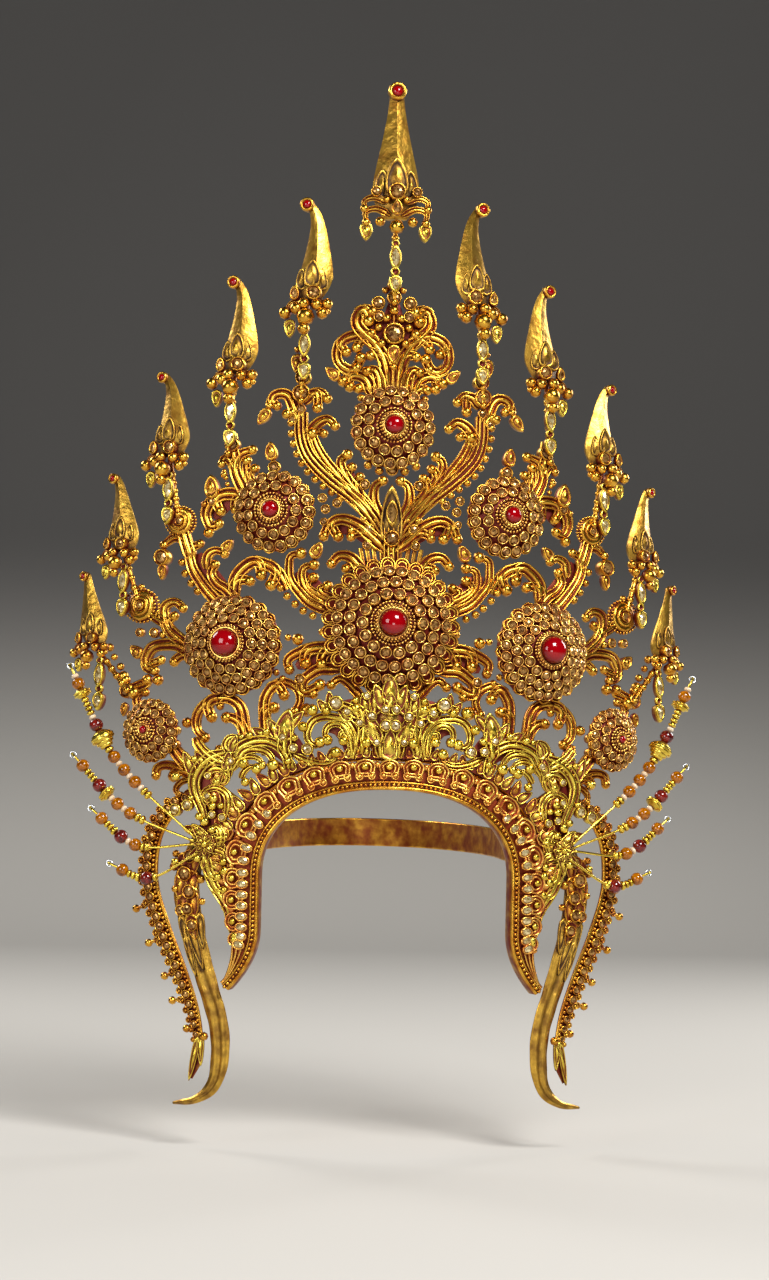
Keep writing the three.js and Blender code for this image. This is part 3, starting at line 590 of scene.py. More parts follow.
def gilding(name, bright, shade, lacquer, rough, crinkle, dent=0.3, low_shade=0.0):
    """Gold leaf on cast metal over red lacquer: rubbed bright on the high places, red-brown in the recesses
    from the lacquer and from painted shade.

    The back is plain gilt: nothing there has held the lacquer.
    """
    material, tree, shader = new_material(name)
    place = add(tree, "ShaderNodeTexCoord").outputs["Object"]
    mottle = add(tree, "ShaderNodeTexNoise", links={
        "Vector": place, "Scale": per_mm(MOTTLE), "Detail": 3.0,
    }).outputs["Fac"]
    crinkles = add(tree, "ShaderNodeTexNoise", links={
        "Vector": place, "Scale": per_mm(crinkle), "Detail": 3.0,
    }).outputs["Fac"]
    # The level read here marks lacquer in the hollows, and painted shade there too
    patina_and_shade_level = add(tree, "ShaderNodeAttribute", {"attribute_name": "patina"}).outputs["Fac"]
    # Painted shade: ambient occlusion darkens the gilding towards the lacquer colour in recesses and between
    # parts, where shade falls
    sky = add(tree, "ShaderNodeAmbientOcclusion", {"samples": 6}, {"Distance": RECESS * MM}).outputs["AO"]
    painted_occlusion_shade = add(tree, "ShaderNodeMapRange", links={"Value": sky, "From Min": 0.86, "From Max": 0.28})
    normal = add(tree, "ShaderNodeNewGeometry").outputs["Normal"]
    rear = add(tree, "ShaderNodeSeparateXYZ", links={"Vector": normal}).outputs["Y"]
    kept = add(tree, "ShaderNodeMapRange", links={
        "Value": rear, "From Min": 0.1, "From Max": 0.6, "To Min": 1.0, "To Max": 0.25,
    })
    # Lacquer in the marked hollows, less of it on the back, plus the painted occlusion shade
    lacquer_and_occlusion_shade = add(tree, "ShaderNodeMath", {"operation": "MULTIPLY_ADD"}, {
        0: patina_and_shade_level, 1: kept.outputs[0], 2: painted_occlusion_shade.outputs[0],
    })
    spread = add(tree, "ShaderNodeMath", {"operation": "MULTIPLY_ADD"}, {
        0: mottle, 1: 0.9, 2: lacquer_and_occlusion_shade.outputs[0],
    }).outputs[0]
    lacquer_and_painted_shade = add(tree, "ShaderNodeMapRange", links={
        "Value": spread, "From Min": 0.74, "From Max": 1.44,
    }).outputs[0]
    height = add(tree, "ShaderNodeSeparateXYZ", links={"Vector": place}).outputs["Z"]
    low = add(tree, "ShaderNodeMapRange", links={
        "Value": height, "From Min": RED_FROM, "From Max": RED_TO, "To Min": 0.0, "To Max": low_shade,
    })
    mixed = add(tree, "ShaderNodeMath", {"operation": "ADD"}, {0: mottle, 1: low.outputs[0]})
    tone = add(tree, "ShaderNodeMapRange", links={
        "Value": mixed.outputs[0], "From Min": 0.4, "From Max": 0.72,
    })
    gold = add(tree, "ShaderNodeMix", {"data_type": "RGBA"}, {0: tone.outputs[0], 6: bright, 7: shade})
    final = add(tree, "ShaderNodeMix", {"data_type": "RGBA"}, {0: lacquer_and_painted_shade, 6: gold.outputs[2], 7: lacquer})
    sheen = add(tree, "ShaderNodeMapRange", links={
        "Value": spread, "From Min": 0.3, "From Max": 1.8, "To Min": rough, "To Max": rough + 0.3,
    })
    bump = add(tree, "ShaderNodeBump", links={"Height": crinkles, "Strength": 0.4, "Distance": dent * MM})
    bare = add(tree, "ShaderNodeMapRange", links={"Value": lacquer_and_painted_shade, "To Min": 1.0, "To Max": 0.55})
    looks = {"Base Color": final.outputs[2], "Roughness": sheen.outputs[0], "Normal": bump.outputs[0],
             "Metallic": bare.outputs[0]}
    for key, socket in looks.items():
        tree.links.new(socket, shader.inputs[key])
    return material


def old_gilding(colours):
    """Old leaf on cast brass: warm, redder low on the crown."""
    tones = (colours.gold, colours.gold_shade, colours.lacquer)
    return gilding("Gilt cast brass", *tones, rough=0.22, crinkle=1.6, low_shade=0.08)


def bright_gilding(colours):
    """Fresh leaf: yellower and clearer than the rest."""
    tones = (colours.bright, colours.bright_shade, colours.lacquer)
    return gilding("Bright gold leaf", *tones, rough=0.22, crinkle=1.9)


def flame_gilding(colours):
    """Hammered and rubbed leaf: broad dents, with brown tarnish and painted shade in the folds."""
    tones = (colours.flame, colours.flame_shade, colours.umber_tarnish_and_shade)
    return gilding("Burnished gilt", *tones, rough=0.31, crinkle=5.5, dent=1.6)


def red_gilding(colours):
    """Thin leaf over orange lacquer: coppery where the lacquer shows through and where painted shade falls in
    the recesses.
    """
    tones = (colours.rose, colours.rose_shade, colours.copper_lacquer_and_shade)
    return gilding("Red gold leaf", *tones, rough=0.24, crinkle=1.6)


def bezel_gilding(colours):
    """Leaf on small turned settings: bright on the lips, rosy below them, with lacquer and painted shade in
    their hollows.
    """
    tones = (colours.bezel, colours.bezel_shade, colours.lacquer)
    return gilding("Rubbed gilt bezel", *tones, rough=0.24, crinkle=1.2)


def ruby_glass(colours):
    """Moulded red glass: glossy, with painted shade that darkens it towards its setting."""
    material, tree, shader = new_material("Red cabochon glass")
    patina_and_shade_level = add(tree, "ShaderNodeAttribute", {"attribute_name": "patina"}).outputs["Fac"]
    # Painted shade: the glass turns darker where its levels are marked high, towards its setting
    tint = add(tree, "ShaderNodeMix", {"data_type": "RGBA"}, {0: patina_and_shade_level, 6: colours.ruby, 7: colours.ruby_edge})
    tree.links.new(tint.outputs[2], shader.inputs["Base Color"])
    shader.inputs["Roughness"].default_value = 0.1
    return material


def cut_glass(name, bright, shade):
    """Cut glass on foil: bright and dark facets of painted reflection, laid at random side by side under a
    hard gloss.
    """
    material, tree, shader = new_material(name)
    place = add(tree, "ShaderNodeTexCoord").outputs["Object"]
    facets = add(tree, "ShaderNodeTexVoronoi", links={"Vector": place, "Scale": per_mm(FACET)})
    # Painted reflections: each cell takes a random mix of the bright and the dark tone
    painted_reflection_mix = add(tree, "ShaderNodeSeparateColor", links={"Color": facets.outputs["Color"]})
    tint = add(tree, "ShaderNodeMix", {"data_type": "RGBA"}, {0: painted_reflection_mix.outputs[0], 6: bright, 7: shade})
    tree.links.new(tint.outputs[2], shader.inputs["Base Color"])
    shader.inputs["Metallic"].default_value = 0.6
    shader.inputs["Roughness"].default_value = 0.14
    return material


def foiled_crystal(colours):
    """Stones on gold foil: amber and brown facets of painted reflection."""
    return cut_glass("Gold-foiled crystal", colours.crystal, colours.crystal_painted_dark_facets)


def clear_crystal(colours):
    """Stones on silver foil: pale facets of painted reflection, bright and dark."""
    return cut_glass("Silver-foiled crystal", colours.clear, colours.clear_painted_dark_facets)


def swirled_glass(name, base, swirl):
    """Wound glass: glossy, with streaks of a darker tone."""
    material, tree, shader = new_material(name)
    place = add(tree, "ShaderNodeTexCoord").outputs["Object"]
    streaks = add(tree, "ShaderNodeTexNoise", links={
        "Vector": place, "Scale": per_mm(GLASS_STREAK), "Detail": 2.0, "Distortion": 1.5,
    })
    tint = add(tree, "ShaderNodeMapRange", links={
        "Value": streaks.outputs["Fac"], "From Min": 0.4, "From Max": 0.7,
    })
    mixed = add(tree, "ShaderNodeMix", {"data_type": "RGBA"}, {0: tint.outputs[0], 6: base, 7: swirl})
    tree.links.new(mixed.outputs[2], shader.inputs["Base Color"])
    shader.inputs["Roughness"].default_value = 0.12
    shader.inputs["Coat Weight"].default_value = 0.15
    return material


def amber_glass(colours):
    """Amber beads: honey yellow with brown streaks."""
    return swirled_glass("Amber glass", colours.amber, colours.amber_swirl)


def garnet_glass(colours):
    """Red beads: dark red with nearly black streaks."""
    return swirled_glass("Dark red glass", colours.garnet, colours.garnet_swirl)


def seed_pearl(colours):
    """Small glass pearls: white with a soft lustre and a warm cast in places."""
    material, tree, shader = new_material("Glass pearl")
    place = add(tree, "ShaderNodeTexCoord").outputs["Object"]
    cast = add(tree, "ShaderNodeTexNoise", links={"Vector": place, "Scale": per_mm(PEARL_CAST)})
    tint = add(tree, "ShaderNodeMix", {"data_type": "RGBA"}, {
        0: cast.outputs["Fac"], 6: colours.pearl, 7: colours.crystal,
    })
    tree.links.new(tint.outputs[2], shader.inputs["Base Color"])
    shader.inputs["Roughness"].default_value = 0.22
    shader.inputs["Coat Weight"].default_value = 0.4
    return material


def silver_wire(colours):
    """Drawn silver-plated wire: bright, with fine dull patches."""
    material, tree, shader = new_material("Silvered wire")
    place = add(tree, "ShaderNodeTexCoord").outputs["Object"]
    dull = add(tree, "ShaderNodeTexNoise", links={"Vector": place, "Scale": per_mm(WIRE_PATCH)})
    sheen = add(tree, "ShaderNodeMapRange", links={
        "Value": dull.outputs["Fac"], "To Min": 0.12, "To Max": 0.4,
    })
    tree.links.new(sheen.outputs[0], shader.inputs["Roughness"])
    shader.inputs["Base Color"].default_value = colours.silver
    shader.inputs["Metallic"].default_value = 1.0
    return material


def painted_floor(colours):
    """Matt studio paint: a pale floor that fades to a grey backdrop, clear where it is seen from behind."""
    material, tree, shader = new_material("Matt studio paint")
    place = add(tree, "ShaderNodeTexCoord").outputs["Object"]
    height = add(tree, "ShaderNodeSeparateXYZ", links={"Vector": place}).outputs["Z"]
    fade = add(tree, "ShaderNodeMapRange", {"interpolation_type": "SMOOTHSTEP"}, {
        "Value": height, "From Min": FLOOR_HEIGHT + FADE_FROM, "From Max": FLOOR_HEIGHT + FADE_TO,
    })
    tint = add(tree, "ShaderNodeMix", {"data_type": "RGBA"}, {
        0: fade.outputs[0], 6: colours.floor, 7: colours.backdrop,
    })
    tree.links.new(tint.outputs[2], shader.inputs["Base Color"])
    shader.inputs["Roughness"].default_value = 0.8
    behind = add(tree, "ShaderNodeNewGeometry").outputs["Backfacing"]
    clear = add(tree, "ShaderNodeBsdfTransparent").outputs[0]
    one_sided = add(tree, "ShaderNodeMixShader", links={0: behind, 1: shader.outputs[0], 2: clear})
    tree.links.new(one_sided.outputs[0], tree.nodes["Material Output"].inputs["Surface"])
    return material


FINISH_MAKERS = {
    "gilt": old_gilding,
    "bright_gilt": bright_gilding,
    "flame_gilt": flame_gilding,
    "red_gilt": red_gilding,
    "setting_gilt": bezel_gilding,
    "ruby": ruby_glass,
    "crystal": foiled_crystal,
    "clear_crystal": clear_crystal,
    "amber": amber_glass,
    "garnet": garnet_glass,
    "pearl": seed_pearl,
    "silver": silver_wire,
    "floor": painted_floor,
}


# Goldwork: what a piece is soldered from

Scroll = namedtuple("Scroll", "knots width bulb commas", defaults=(0, ()))
SCROLL_STEP = 1.7
COMMA_STEP = 1.2
GROUND_STEP = 2
# Scrolls wider than this have four ridges, and narrower ones three
SCROLL_FROM = 9.7
# How tall a scroll's ball is for its radius
BALL_HEIGHT = 0.85
# How far apart the three lifts are that scrolls take in turn
LIFT_STEP = 0.4


class Goldwork:
    """Strips that follow paths and small shapes set at places, laid out on the face."""

    def __init__(self, metal, sides=BOTH):
        self.metal = metal
        self.sides = sides
        self.strips = {}
        self.places = {}
        self.rows = []

    def strip(self, section, path, half, lift, sides=None):
        """Lays a strip of that section and half width along a path."""
        path = np.asarray(path, float)[:, :2]
        half = np.broadcast_to(half, len(path))
        lift = np.broadcast_to(lift, len(path))
        for side in sides or self.sides:
            line = np.column_stack((path * (side, 1), lift))
            self.strips.setdefault(section, []).append((line, half))

    def set(self, name, x, z, lift, size, turn=0.0, metal=None):
        """Sets a shape: its radius, or half width, half length and height; turned clockwise by degrees."""
        size = (size, size, size) if np.isscalar(size) else size
        rows = self.places.setdefault((name, metal or self.metal), [])
        for side in self.sides if x else ONCE:
            rows.append((side * x, z, lift, *size, side * turn))

    def gem(self, x, z, lift, radius, turn=0.0, metal=None, cut="round", glass="crystal"):
        """A stone in its bezel: radius, or half width and half length for a cut that isn't round."""
        size = (radius, radius, radius) if np.isscalar(radius) else (*radius, radius[0])
        bezel, stone = {"round": ("bezel", "stone")}.get(cut, (cut, cut + "_stone"))
        self.set(bezel, x, z, lift, size, turn, metal)
        self.set(stone, x, z, lift, size, turn, glass)

    def balls(self, rows, lift):
        """Sets balls from rows of x, z and radius."""
        for x, z, radius in rows:
            self.set("ball", x, z, lift, radius)

    def leaves(self, rows, lift, height, metal=None):
        """Sets leaves of one height from rows of x, z, half width, half length and clockwise turn."""
        for x, z, half, long, turn in rows:
            self.set("leaf", x, z, lift, (half, long, height), turn, metal)

    def bead_row(self, path, lift, radius, pitch):
        """Strings balls along a path."""
        path = np.asarray(path, float)[:, :2]
        for side in self.sides:
            self.rows.append((path * (side, 1), lift, radius, pitch))

    def meshes(self):
        """Plain meshes of everything laid out so far."""
        made = []
        for section, lines in self.strips.items():
            points = np.vstack([line for line, _ in lines])
            counts = np.cumsum([0] + [len(line) for line, _ in lines])
            edges = [(k, k + 1) for a, b in zip(counts, counts[1:]) for k in range(a, b - 1)]
            paths = new_mesh("paths", points, edges=edges, half=np.concatenate([half for _, half in lines]))
            swept = made_by("strip", paths, section=shape(section), material=finish(self.metal))
            swept.polygons.foreach_set("use_smooth", [True] * len(swept.polygons))
            made.append(bend(swept))
        for (name, metal), rows in self.places.items():
            table = np.array(rows, float)
            points, out = face(table[:, 0], table[:, 1], table[:, 2])
            across, up = face_axes(out)
            angle = np.radians(table[:, 6])[:, None]
            up = up * np.cos(angle) + across * np.sin(angle)
            spots = new_mesh("places", points, facing=out, up=up, size=table[:, 3:6] * MM)
            made.append(made_by("setting", spots, shape=shape(name), material=finish(metal)))
        for path, lift, radius, pitch in self.rows:
            points, _ = face(path[:, 0], path[:, 1], lift)
            line = new_mesh("line", points, edges=[(k, k + 1) for k in range(len(points) - 1)])
            made.append(made_by(
                "row", line, shape=shape("ball"), pitch=pitch * MM, radius=radius * MM,
                material=finish(self.metal),
            ))
        return made


def comma(work, path, end, radius, lift):
    """A small curl that leaves a scroll's path and ends in its own ball."""
    gaps = np.linalg.norm(path - end, axis=1)
    near = int(np.argmin(gaps))
    leaves = max(0, near - round(1.5 * gaps[near] / SCROLL_STEP))
    start = path[leaves]
    heading = headings(path)[leaves]
    reach = np.linalg.norm(np.array(end) - start)
    ahead = start + 0.8 * reach * np.array((math.cos(heading), math.sin(heading)))
    t = np.linspace(0, 1, max(5, round(1.3 * reach / COMMA_STEP)))[:, None]
    curve = start * (1 - t) ** 2 + 2 * ahead * t * (1 - t) + np.array(end) * t**2
    work.strip("ribbon", curve, radius * np.linspace(1.0, 0.8, len(curve)), lift)
    work.set("ball", *end, lift + 0.7, (radius, radius, BALL_HEIGHT * radius))


def scroll(work, row, lift, gain=1.0):
    """A tapered strip with a ball at its tip, and commas that leave it for their own balls."""
    path = smooth(row.knots, SCROLL_STEP)
    share = np.linspace(0, 1, len(path))
    taper = 1 - (0.4 * share**1.5 if row.bulb else 0.2 * share**2)
    start = np.clip(0.55 + 3 * share, 0, 1)
    width = row.width * gain
    work.strip("scroll" if width > SCROLL_FROM else "ribbon", path, width / 2 * taper * start, lift)
    swell = 0.7 + 0.3 * gain
    if row.bulb:
        radius = row.bulb * swell
        work.set("ball", *path[-1], lift + 0.8, (radius, radius, BALL_HEIGHT * radius))
    for x, z, radius in row.commas:
        comma(work, path, (x, z), radius * swell, lift + 0.4)


def scrolls(work, rows, lift, gain):
    """Scrolls at three lifts in turn, so that their crossings show."""
    for k, row in enumerate(rows):
        scroll(work, row, lift + LIFT_STEP * (k % 3 - 1), gain)


def ground(work, rows, lift):
    """Dark red lacquered leaves behind the scrolls, which also stand in as painted shade in their openings,
    from rows of knots and a half width.
    """
    for knots, half in rows:
        path = smooth(knots, GROUND_STEP)
        taper = np.sin(np.linspace(0.12, math.pi - 0.12, len(path))) ** 0.6
        work.strip("bed", path, half * taper, lift, ONCE if knots[0][0] == 0 else BOTH)


def piece(name, meshes, nodes):
    """One finished piece of the given meshes, in the place of its CAD nodes."""
    parts = []
    for mesh in meshes:
        part = bpy.data.objects.new(name, mesh)
        bpy.context.scene.collection.objects.link(part)
        parts.append(part)
    if len(parts) > 1:
        with bpy.context.temp_override(active_object=parts[0], selected_editable_objects=parts):
            bpy.ops.object.join()
    whole = parts[0]
    whole.data.name = name
    for node in nodes:
        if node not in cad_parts:
            raise RuntimeError(f"{name} stands for {node}, which the frame doesn't have")
    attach(whole, BODY)
    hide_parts(*nodes)
    return whole


def with_finish(mesh, name):
    mesh.materials.append(finish(name))
    return mesh


def onto_face(mesh, x, z, lift):
    mesh.transform(face_matrix(x, z, lift))
    return mesh


# Rim and petals

RIM_HALF_WIDTH = 75.6
RIM_TOP = 36.5
RIM_SHOULDER = -19
RIM_CHEEK = -52
RIM_POINT = (92, -90)
RIM_EXPONENT = 2.3
RIM_WIDTH = 5
RIM_STEP = 1.5
RIM_FRONT = 11.4
# What runs along the rim as section, distance from its edge, half width and lift
RIM_STRIPS = [("bar", 2.5, 2.45, 7.0), ("wire", 1.15, 1.3, RIM_FRONT), ("wire", 4.6, 0.75, RIM_FRONT)]
RIM_BEADS = 3.1
# Gaps from the rim to the petals' feet, and from their tips to the rail
PETAL_FOOT = 0.4
PETAL_TIP_GAP = 2.9
# Petal widths at shares of the way from the brow to a cheek point
PETAL_WIDTHS = {0: 13, 0.45: 16, 0.7: 16, 0.86: 10, 1: 2}
# Settings at the petals' feet: where along the rim they grow towards the cheek, how far out they sit,
# their half size, and how much wider and longer they are at the cheek
FOOT_GROWS_FROM = 0.3
FOOT_GROWS_OVER = 0.15
FOOT_OUT = 3.1
FOOT_FURTHER_OUT = 1.2
FOOT_HALF = 2.7
FOOT_WIDER = 0.4
FOOT_LONGER = 1.7
# Heights on a petal of its arch, its boss and the ball between it and the next one, and the last two's sizes
ARCH_AT = 0.6
BOSS_AT = 0.66
BETWEEN_AT = 0.72
BOSS_SIZE = (2.4, 2.4, 2)
BETWEEN_SIZE = (1.9, 2.4, 1.9)
CREST_LIFT = 8.2
# Shares of the way to a cheek point where the rail ends and where the band turns to a grooved point
RAIL_END = 0.58
POINT_FROM = 0.83
# Where the point's wires lie, as shares of its width
POINT_WIRES = (0.3, 0.62, 0.94)


def rim_edge():
    """The edge of the face opening from the left cheek point over the brow to the right one."""
    angle = np.linspace(0, math.pi / 2, 90)
    arch_x = RIM_HALF_WIDTH * np.clip(np.sin(angle), 0, 1) ** (2 / RIM_EXPONENT)
    arch_z = RIM_SHOULDER + (RIM_TOP - RIM_SHOULDER) * np.clip(np.cos(angle), 0, 1) ** (2 / RIM_EXPONENT)
    t = np.linspace(0, 1, 30)[:, None]
    start = np.array((RIM_HALF_WIDTH, RIM_CHEEK))
    control = np.array((RIM_HALF_WIDTH, (RIM_CHEEK + RIM_POINT[1]) / 2))
    cheek = start * (1 - t) ** 2 + 2 * control * t * (1 - t) + np.array(RIM_POINT) * t**2
    right = np.vstack((np.stack((arch_x, arch_z), -1), cheek))
    return evenly(np.vstack((right[:0:-1] * (-1, 1), right)), RIM_STEP)


RIM_EDGE = rim_edge()
# How far each point of the edge is on the way from the brow to its cheek point
RIM_SHARES = np.abs(np.linspace(-1, 1, len(RIM_EDGE)))


def petal_width(share):
    return np.interp(share, list(PETAL_WIDTHS), list(PETAL_WIDTHS.values()))


def rail_path():
    """The line just outside the petals' tips, as far as it is used."""
    line = offset(RIM_EDGE, RIM_WIDTH + PETAL_TIP_GAP + petal_width(RIM_SHARES))
    return line[RIM_SHARES <= RAIL_END]


def make_rim():
    """A deep bar behind a bead row between two wires."""
    sizes = bpy.context.scene.crown_sizes
    work = Goldwork("gilt", ONCE)
    for section, distance, half, lift in RIM_STRIPS:
        work.strip(section, offset(RIM_EDGE, distance), half, lift)
    work.bead_row(offset(RIM_EDGE, RIM_BEADS), RIM_FRONT + 0.2, sizes.rim_bead / MM, sizes.rim_pitch / MM)
    piece("rim", work.meshes(), ["face_rim"])


def foot_place(at, distance):
    """A place that far outside the petals' feet, at a share of the rim's length, with the outward turn."""
    along = np.linspace(0, 1, len(RIM_EDGE))
    rows = (*RIM_EDGE.T, np.unwrap(headings(RIM_EDGE)))
    x, z, heading = (np.interp(at, along, values) for values in rows)
    outward = heading + math.pi / 2
    out = RIM_WIDTH + PETAL_FOOT + distance
    return x + out * math.cos(outward), z + out * math.sin(outward), 90 - math.degrees(outward)


def make_petals():
    """Arched petals side by side with settings at their feet, and a grooved point at each cheek."""
    sizes = bpy.context.scene.crown_sizes
    work = Goldwork("red_gilt", ONCE)
    inner = RIM_WIDTH + PETAL_FOOT
    backing = np.maximum(petal_width(RIM_SHARES) - 2, 1.2)
    work.strip("bed", offset(RIM_EDGE, inner + backing / 2), backing / 2, CREST_LIFT + 0.4)
    points = np.array_split(np.flatnonzero(RIM_SHARES > POINT_FROM), 2)
    for share in POINT_WIRES:
        line = offset(RIM_EDGE, inner + share * backing)
        for point in points:
            work.strip("wire", line[point], 0.75, CREST_LIFT + 1.3)
    for k in range(2 * sizes.petals):
        at = (k + 0.5) / sizes.petals / 2
        share = abs(2 * at - 1)
        if share > POINT_FROM + 0.02:
            continue
        cheek = np.clip((share - FOOT_GROWS_FROM) / FOOT_GROWS_OVER, 0, 1)
        x, z, turn = foot_place(at, FOOT_OUT + FOOT_FURTHER_OUT * cheek)
        half = FOOT_HALF + FOOT_WIDER * cheek
        long = FOOT_HALF + FOOT_LONGER * cheek
        if cheek < 0.5:
            work.set("ring", x, z, CREST_LIFT + 3.2, half, turn)
            work.set("ball", x, z, CREST_LIFT + 3.7, 0.6 * half, turn)
        else:
            work.gem(x, z, CREST_LIFT + 3.6, (half, long), turn, cut="oval", glass="clear_crystal")
    for k in range(sizes.petals):
        at = (k + 0.5) / sizes.petals
        share = abs(2 * at - 1)
        if share > POINT_FROM:
            continue
        tall = petal_width(share)
        half_share = 0.5 / sizes.petals
        ends = [foot_place(at + way * half_share, ARCH_AT * tall)[:2] for way in BOTH]
        x, z, turn = foot_place(at, ARCH_AT * tall)
        work.set("arch", x, z, CREST_LIFT + 1.4, (0.48 * math.dist(*ends), 0.44 * tall, 5), turn)
        x, z, turn = foot_place(at, BOSS_AT * tall)
        work.set("ball", x, z, CREST_LIFT + 3.6, BOSS_SIZE, turn, "bright_gilt")
        x, z, turn = foot_place(at + half_share, BETWEEN_AT * tall)
        work.set("ball", x, z, CREST_LIFT + 1.8, BETWEEN_SIZE, turn)
    piece("petal_band_leaves", work.meshes(), ["petal_band"])


# Lattice

LATTICE = [
    Scroll([(3, 286), (4, 298), (7, 309), (13, 317), (20, 321.5), (27, 321), (33, 317), (35.5, 310),
        (34, 303.5), (28.5, 299.5), (23, 301)], 6.6, 3.3, [(29.5, 311, 3.2), (23, 314, 3.4),
        (20.5, 307.5, 3.6), (14.5, 309, 3.3)]),
    Scroll([(8, 314), (17, 321), (23, 328), (22.5, 335), (18, 339), (13.5, 337)],
        6.8, 3.8, [(16, 331, 3.8), (14, 323, 3.4)]),
    Scroll([(8, 284), (9, 294), (12, 300), (16.5, 299)], 6.4, 3.3),
    Scroll([(13, 283), (16, 292), (20, 295.5), (26, 296), (31.5, 292.5)], 6.6, 3.4, [(27, 289, 3.4),
        (21.5, 288, 3.2)]),
    Scroll([(59, 268), (64, 281), (69, 284), (74, 282), (77, 276)], 6.4, 2.4, [(72, 276, 3),
        (66, 271, 3.2)]),
    Scroll([(56, 278), (50, 284), (45, 285), (41, 281)], 5.6, 3, [(47, 275, 3.2)]),
    Scroll([(54, 253), (48, 264), (41, 268), (36, 264)], 6.4, 3, [(43, 259, 2.8)]),
    Scroll([(4, 193), (11, 205), (22, 217), (36, 228), (46, 237), (53, 246), (56.5, 257), (57, 272)],
        7.4),
    Scroll([(9, 199), (20, 215), (31, 229), (40, 240), (46, 249), (50, 259)], 6, 3.6),
    Scroll([(9, 204), (20, 220), (27, 229), (31, 236), (32, 242), (28, 246)], 6.4, 3.4, [(25, 238, 3),
        (20, 232, 3)]),
    Scroll([(6, 205), (11, 216), (10.5, 226), (5.5, 230)], 5.8, 3.2),
    Scroll([(2, 185), (11, 193), (20, 201), (30, 205), (38, 202), (42, 194)], 6.8, 3.2, [(33, 194, 3.4),
        (25, 194, 3)]),
    Scroll([(9, 158), (19, 174), (25, 181), (32, 182), (37, 177)], 6.8, 3.1, [(28, 174, 3)]),
    Scroll([(96, 154), (96, 165), (92, 172), (85, 177), (78, 176), (72, 173), (67, 167), (64, 160)],
        6, 0, [(80, 169, 3.7), (87, 165, 3.4), (74, 163, 3.8)]),
    Scroll([(36, 146), (50, 152), (57, 159), (62, 166), (63, 174), (62, 181), (56, 183)], 5.4, 3.6),
    Scroll([(38, 150), (51, 159), (55, 167), (54, 174), (48, 176)], 5, 3.4),
    Scroll([(34, 152), (48, 159), (52, 164), (48, 168)], 4.6, 3.3),
    Scroll([(30, 154), (40, 157), (44, 161), (39, 163)], 4.4, 3.2),
    Scroll([(90, 218), (100, 220), (108, 218), (113, 213), (115, 206), (112, 199), (107, 201)],
        6.4, 3, [(106, 209, 3.3), (97, 210, 3)]),
    Scroll([(88, 216), (96, 231), (97, 239), (94, 245), (87, 248)], 6.4, 3.1),
    Scroll([(84, 220), (90, 234), (90, 241)], 5.4, 3, [(85, 236, 3)]),
    Scroll([(97, 234), (100, 240), (104, 243), (106, 239)], 5, 2.7),
    Scroll([(97, 239), (99, 248), (100, 258)], 6),
    Scroll([(100, 146), (110, 155), (118, 165), (123, 174), (124, 184), (118, 188)], 6.2, 2.8),
    Scroll([(94, 150), (101, 159), (107, 163), (111, 169), (109, 175)], 6, 3.1),
    Scroll([(114, 172), (113, 181), (108, 184), (103, 182)], 5, 3),
    Scroll([(123, 178), (127, 190), (130, 202)], 6),
    Scroll([(126, 190), (134, 192), (141, 187)], 5, 2.8),
    Scroll([(120, 120), (135, 132), (139, 140), (139, 148), (133, 151), (128, 147)],
        6.2, 2.9, [(133, 142, 3)]),
    Scroll([(136, 136), (145, 141), (154, 149)], 5),
    Scroll([(116, 114), (129, 123), (138, 124), (146, 122), (150, 116), (150, 109), (145, 107)],
        6.6, 3.1, [(141, 114, 2.9), (133, 113, 3.1)]),
    Scroll([(148, 100), (155, 97), (161, 94)], 5),
    Scroll([(143, 80), (154, 84), (155, 91), (150, 93)], 4.6, 2.6),
    Scroll([(30, 124), (46, 124), (56, 121), (63, 116), (62, 110)], 6.4, 3.1, [(52, 114, 3.8),
        (42, 114, 3.8)]),
    Scroll([(30, 111), (42, 111), (48, 108), (53, 103), (53, 97), (47, 95)], 6.2, 3, [(43, 101, 3.6)]),
    Scroll([(16, 92), (25, 102), (31, 105), (36, 101)], 5.4, 3),
    Scroll([(76, 56), (76, 72), (77, 85), (76, 93), (71, 100), (64, 102), (57, 98), (55, 91), (58, 84)],
        5.8, 3.2, [(65, 94, 3.5), (71, 86, 3.5)]),
    Scroll([(86, 56), (89, 73), (91, 84), (96, 90), (105, 91), (113, 87), (118, 80), (118, 71),
        (113, 66)], 6, 3.2, [(109, 79, 3.5), (100, 79, 3.5), (104, 86, 2.5)]),
    Scroll([(119, 66), (114, 57), (108, 54), (104, 59)], 5, 2.8),
    Scroll([(116, 40), (128, 46), (136, 48), (142, 46), (143, 41)], 5.6, 2.9, [(132, 41, 3.5)]),
    Scroll([(112, 37), (121, 39.5), (127.5, 37.5), (130.5, 32.5), (127, 29)], 3.6, 2.6),
    Scroll([(111, 31), (118, 33), (123.5, 31), (125, 26.5)], 3.2, 2.4),
    Scroll([(136, 64), (127, 52), (116, 41), (102, 32), (90, 24)], 6),
    Scroll([(1, 56), (8, 70), (9, 90), (3, 108)], 8),
]
LATTICE_GAIN = 1.42
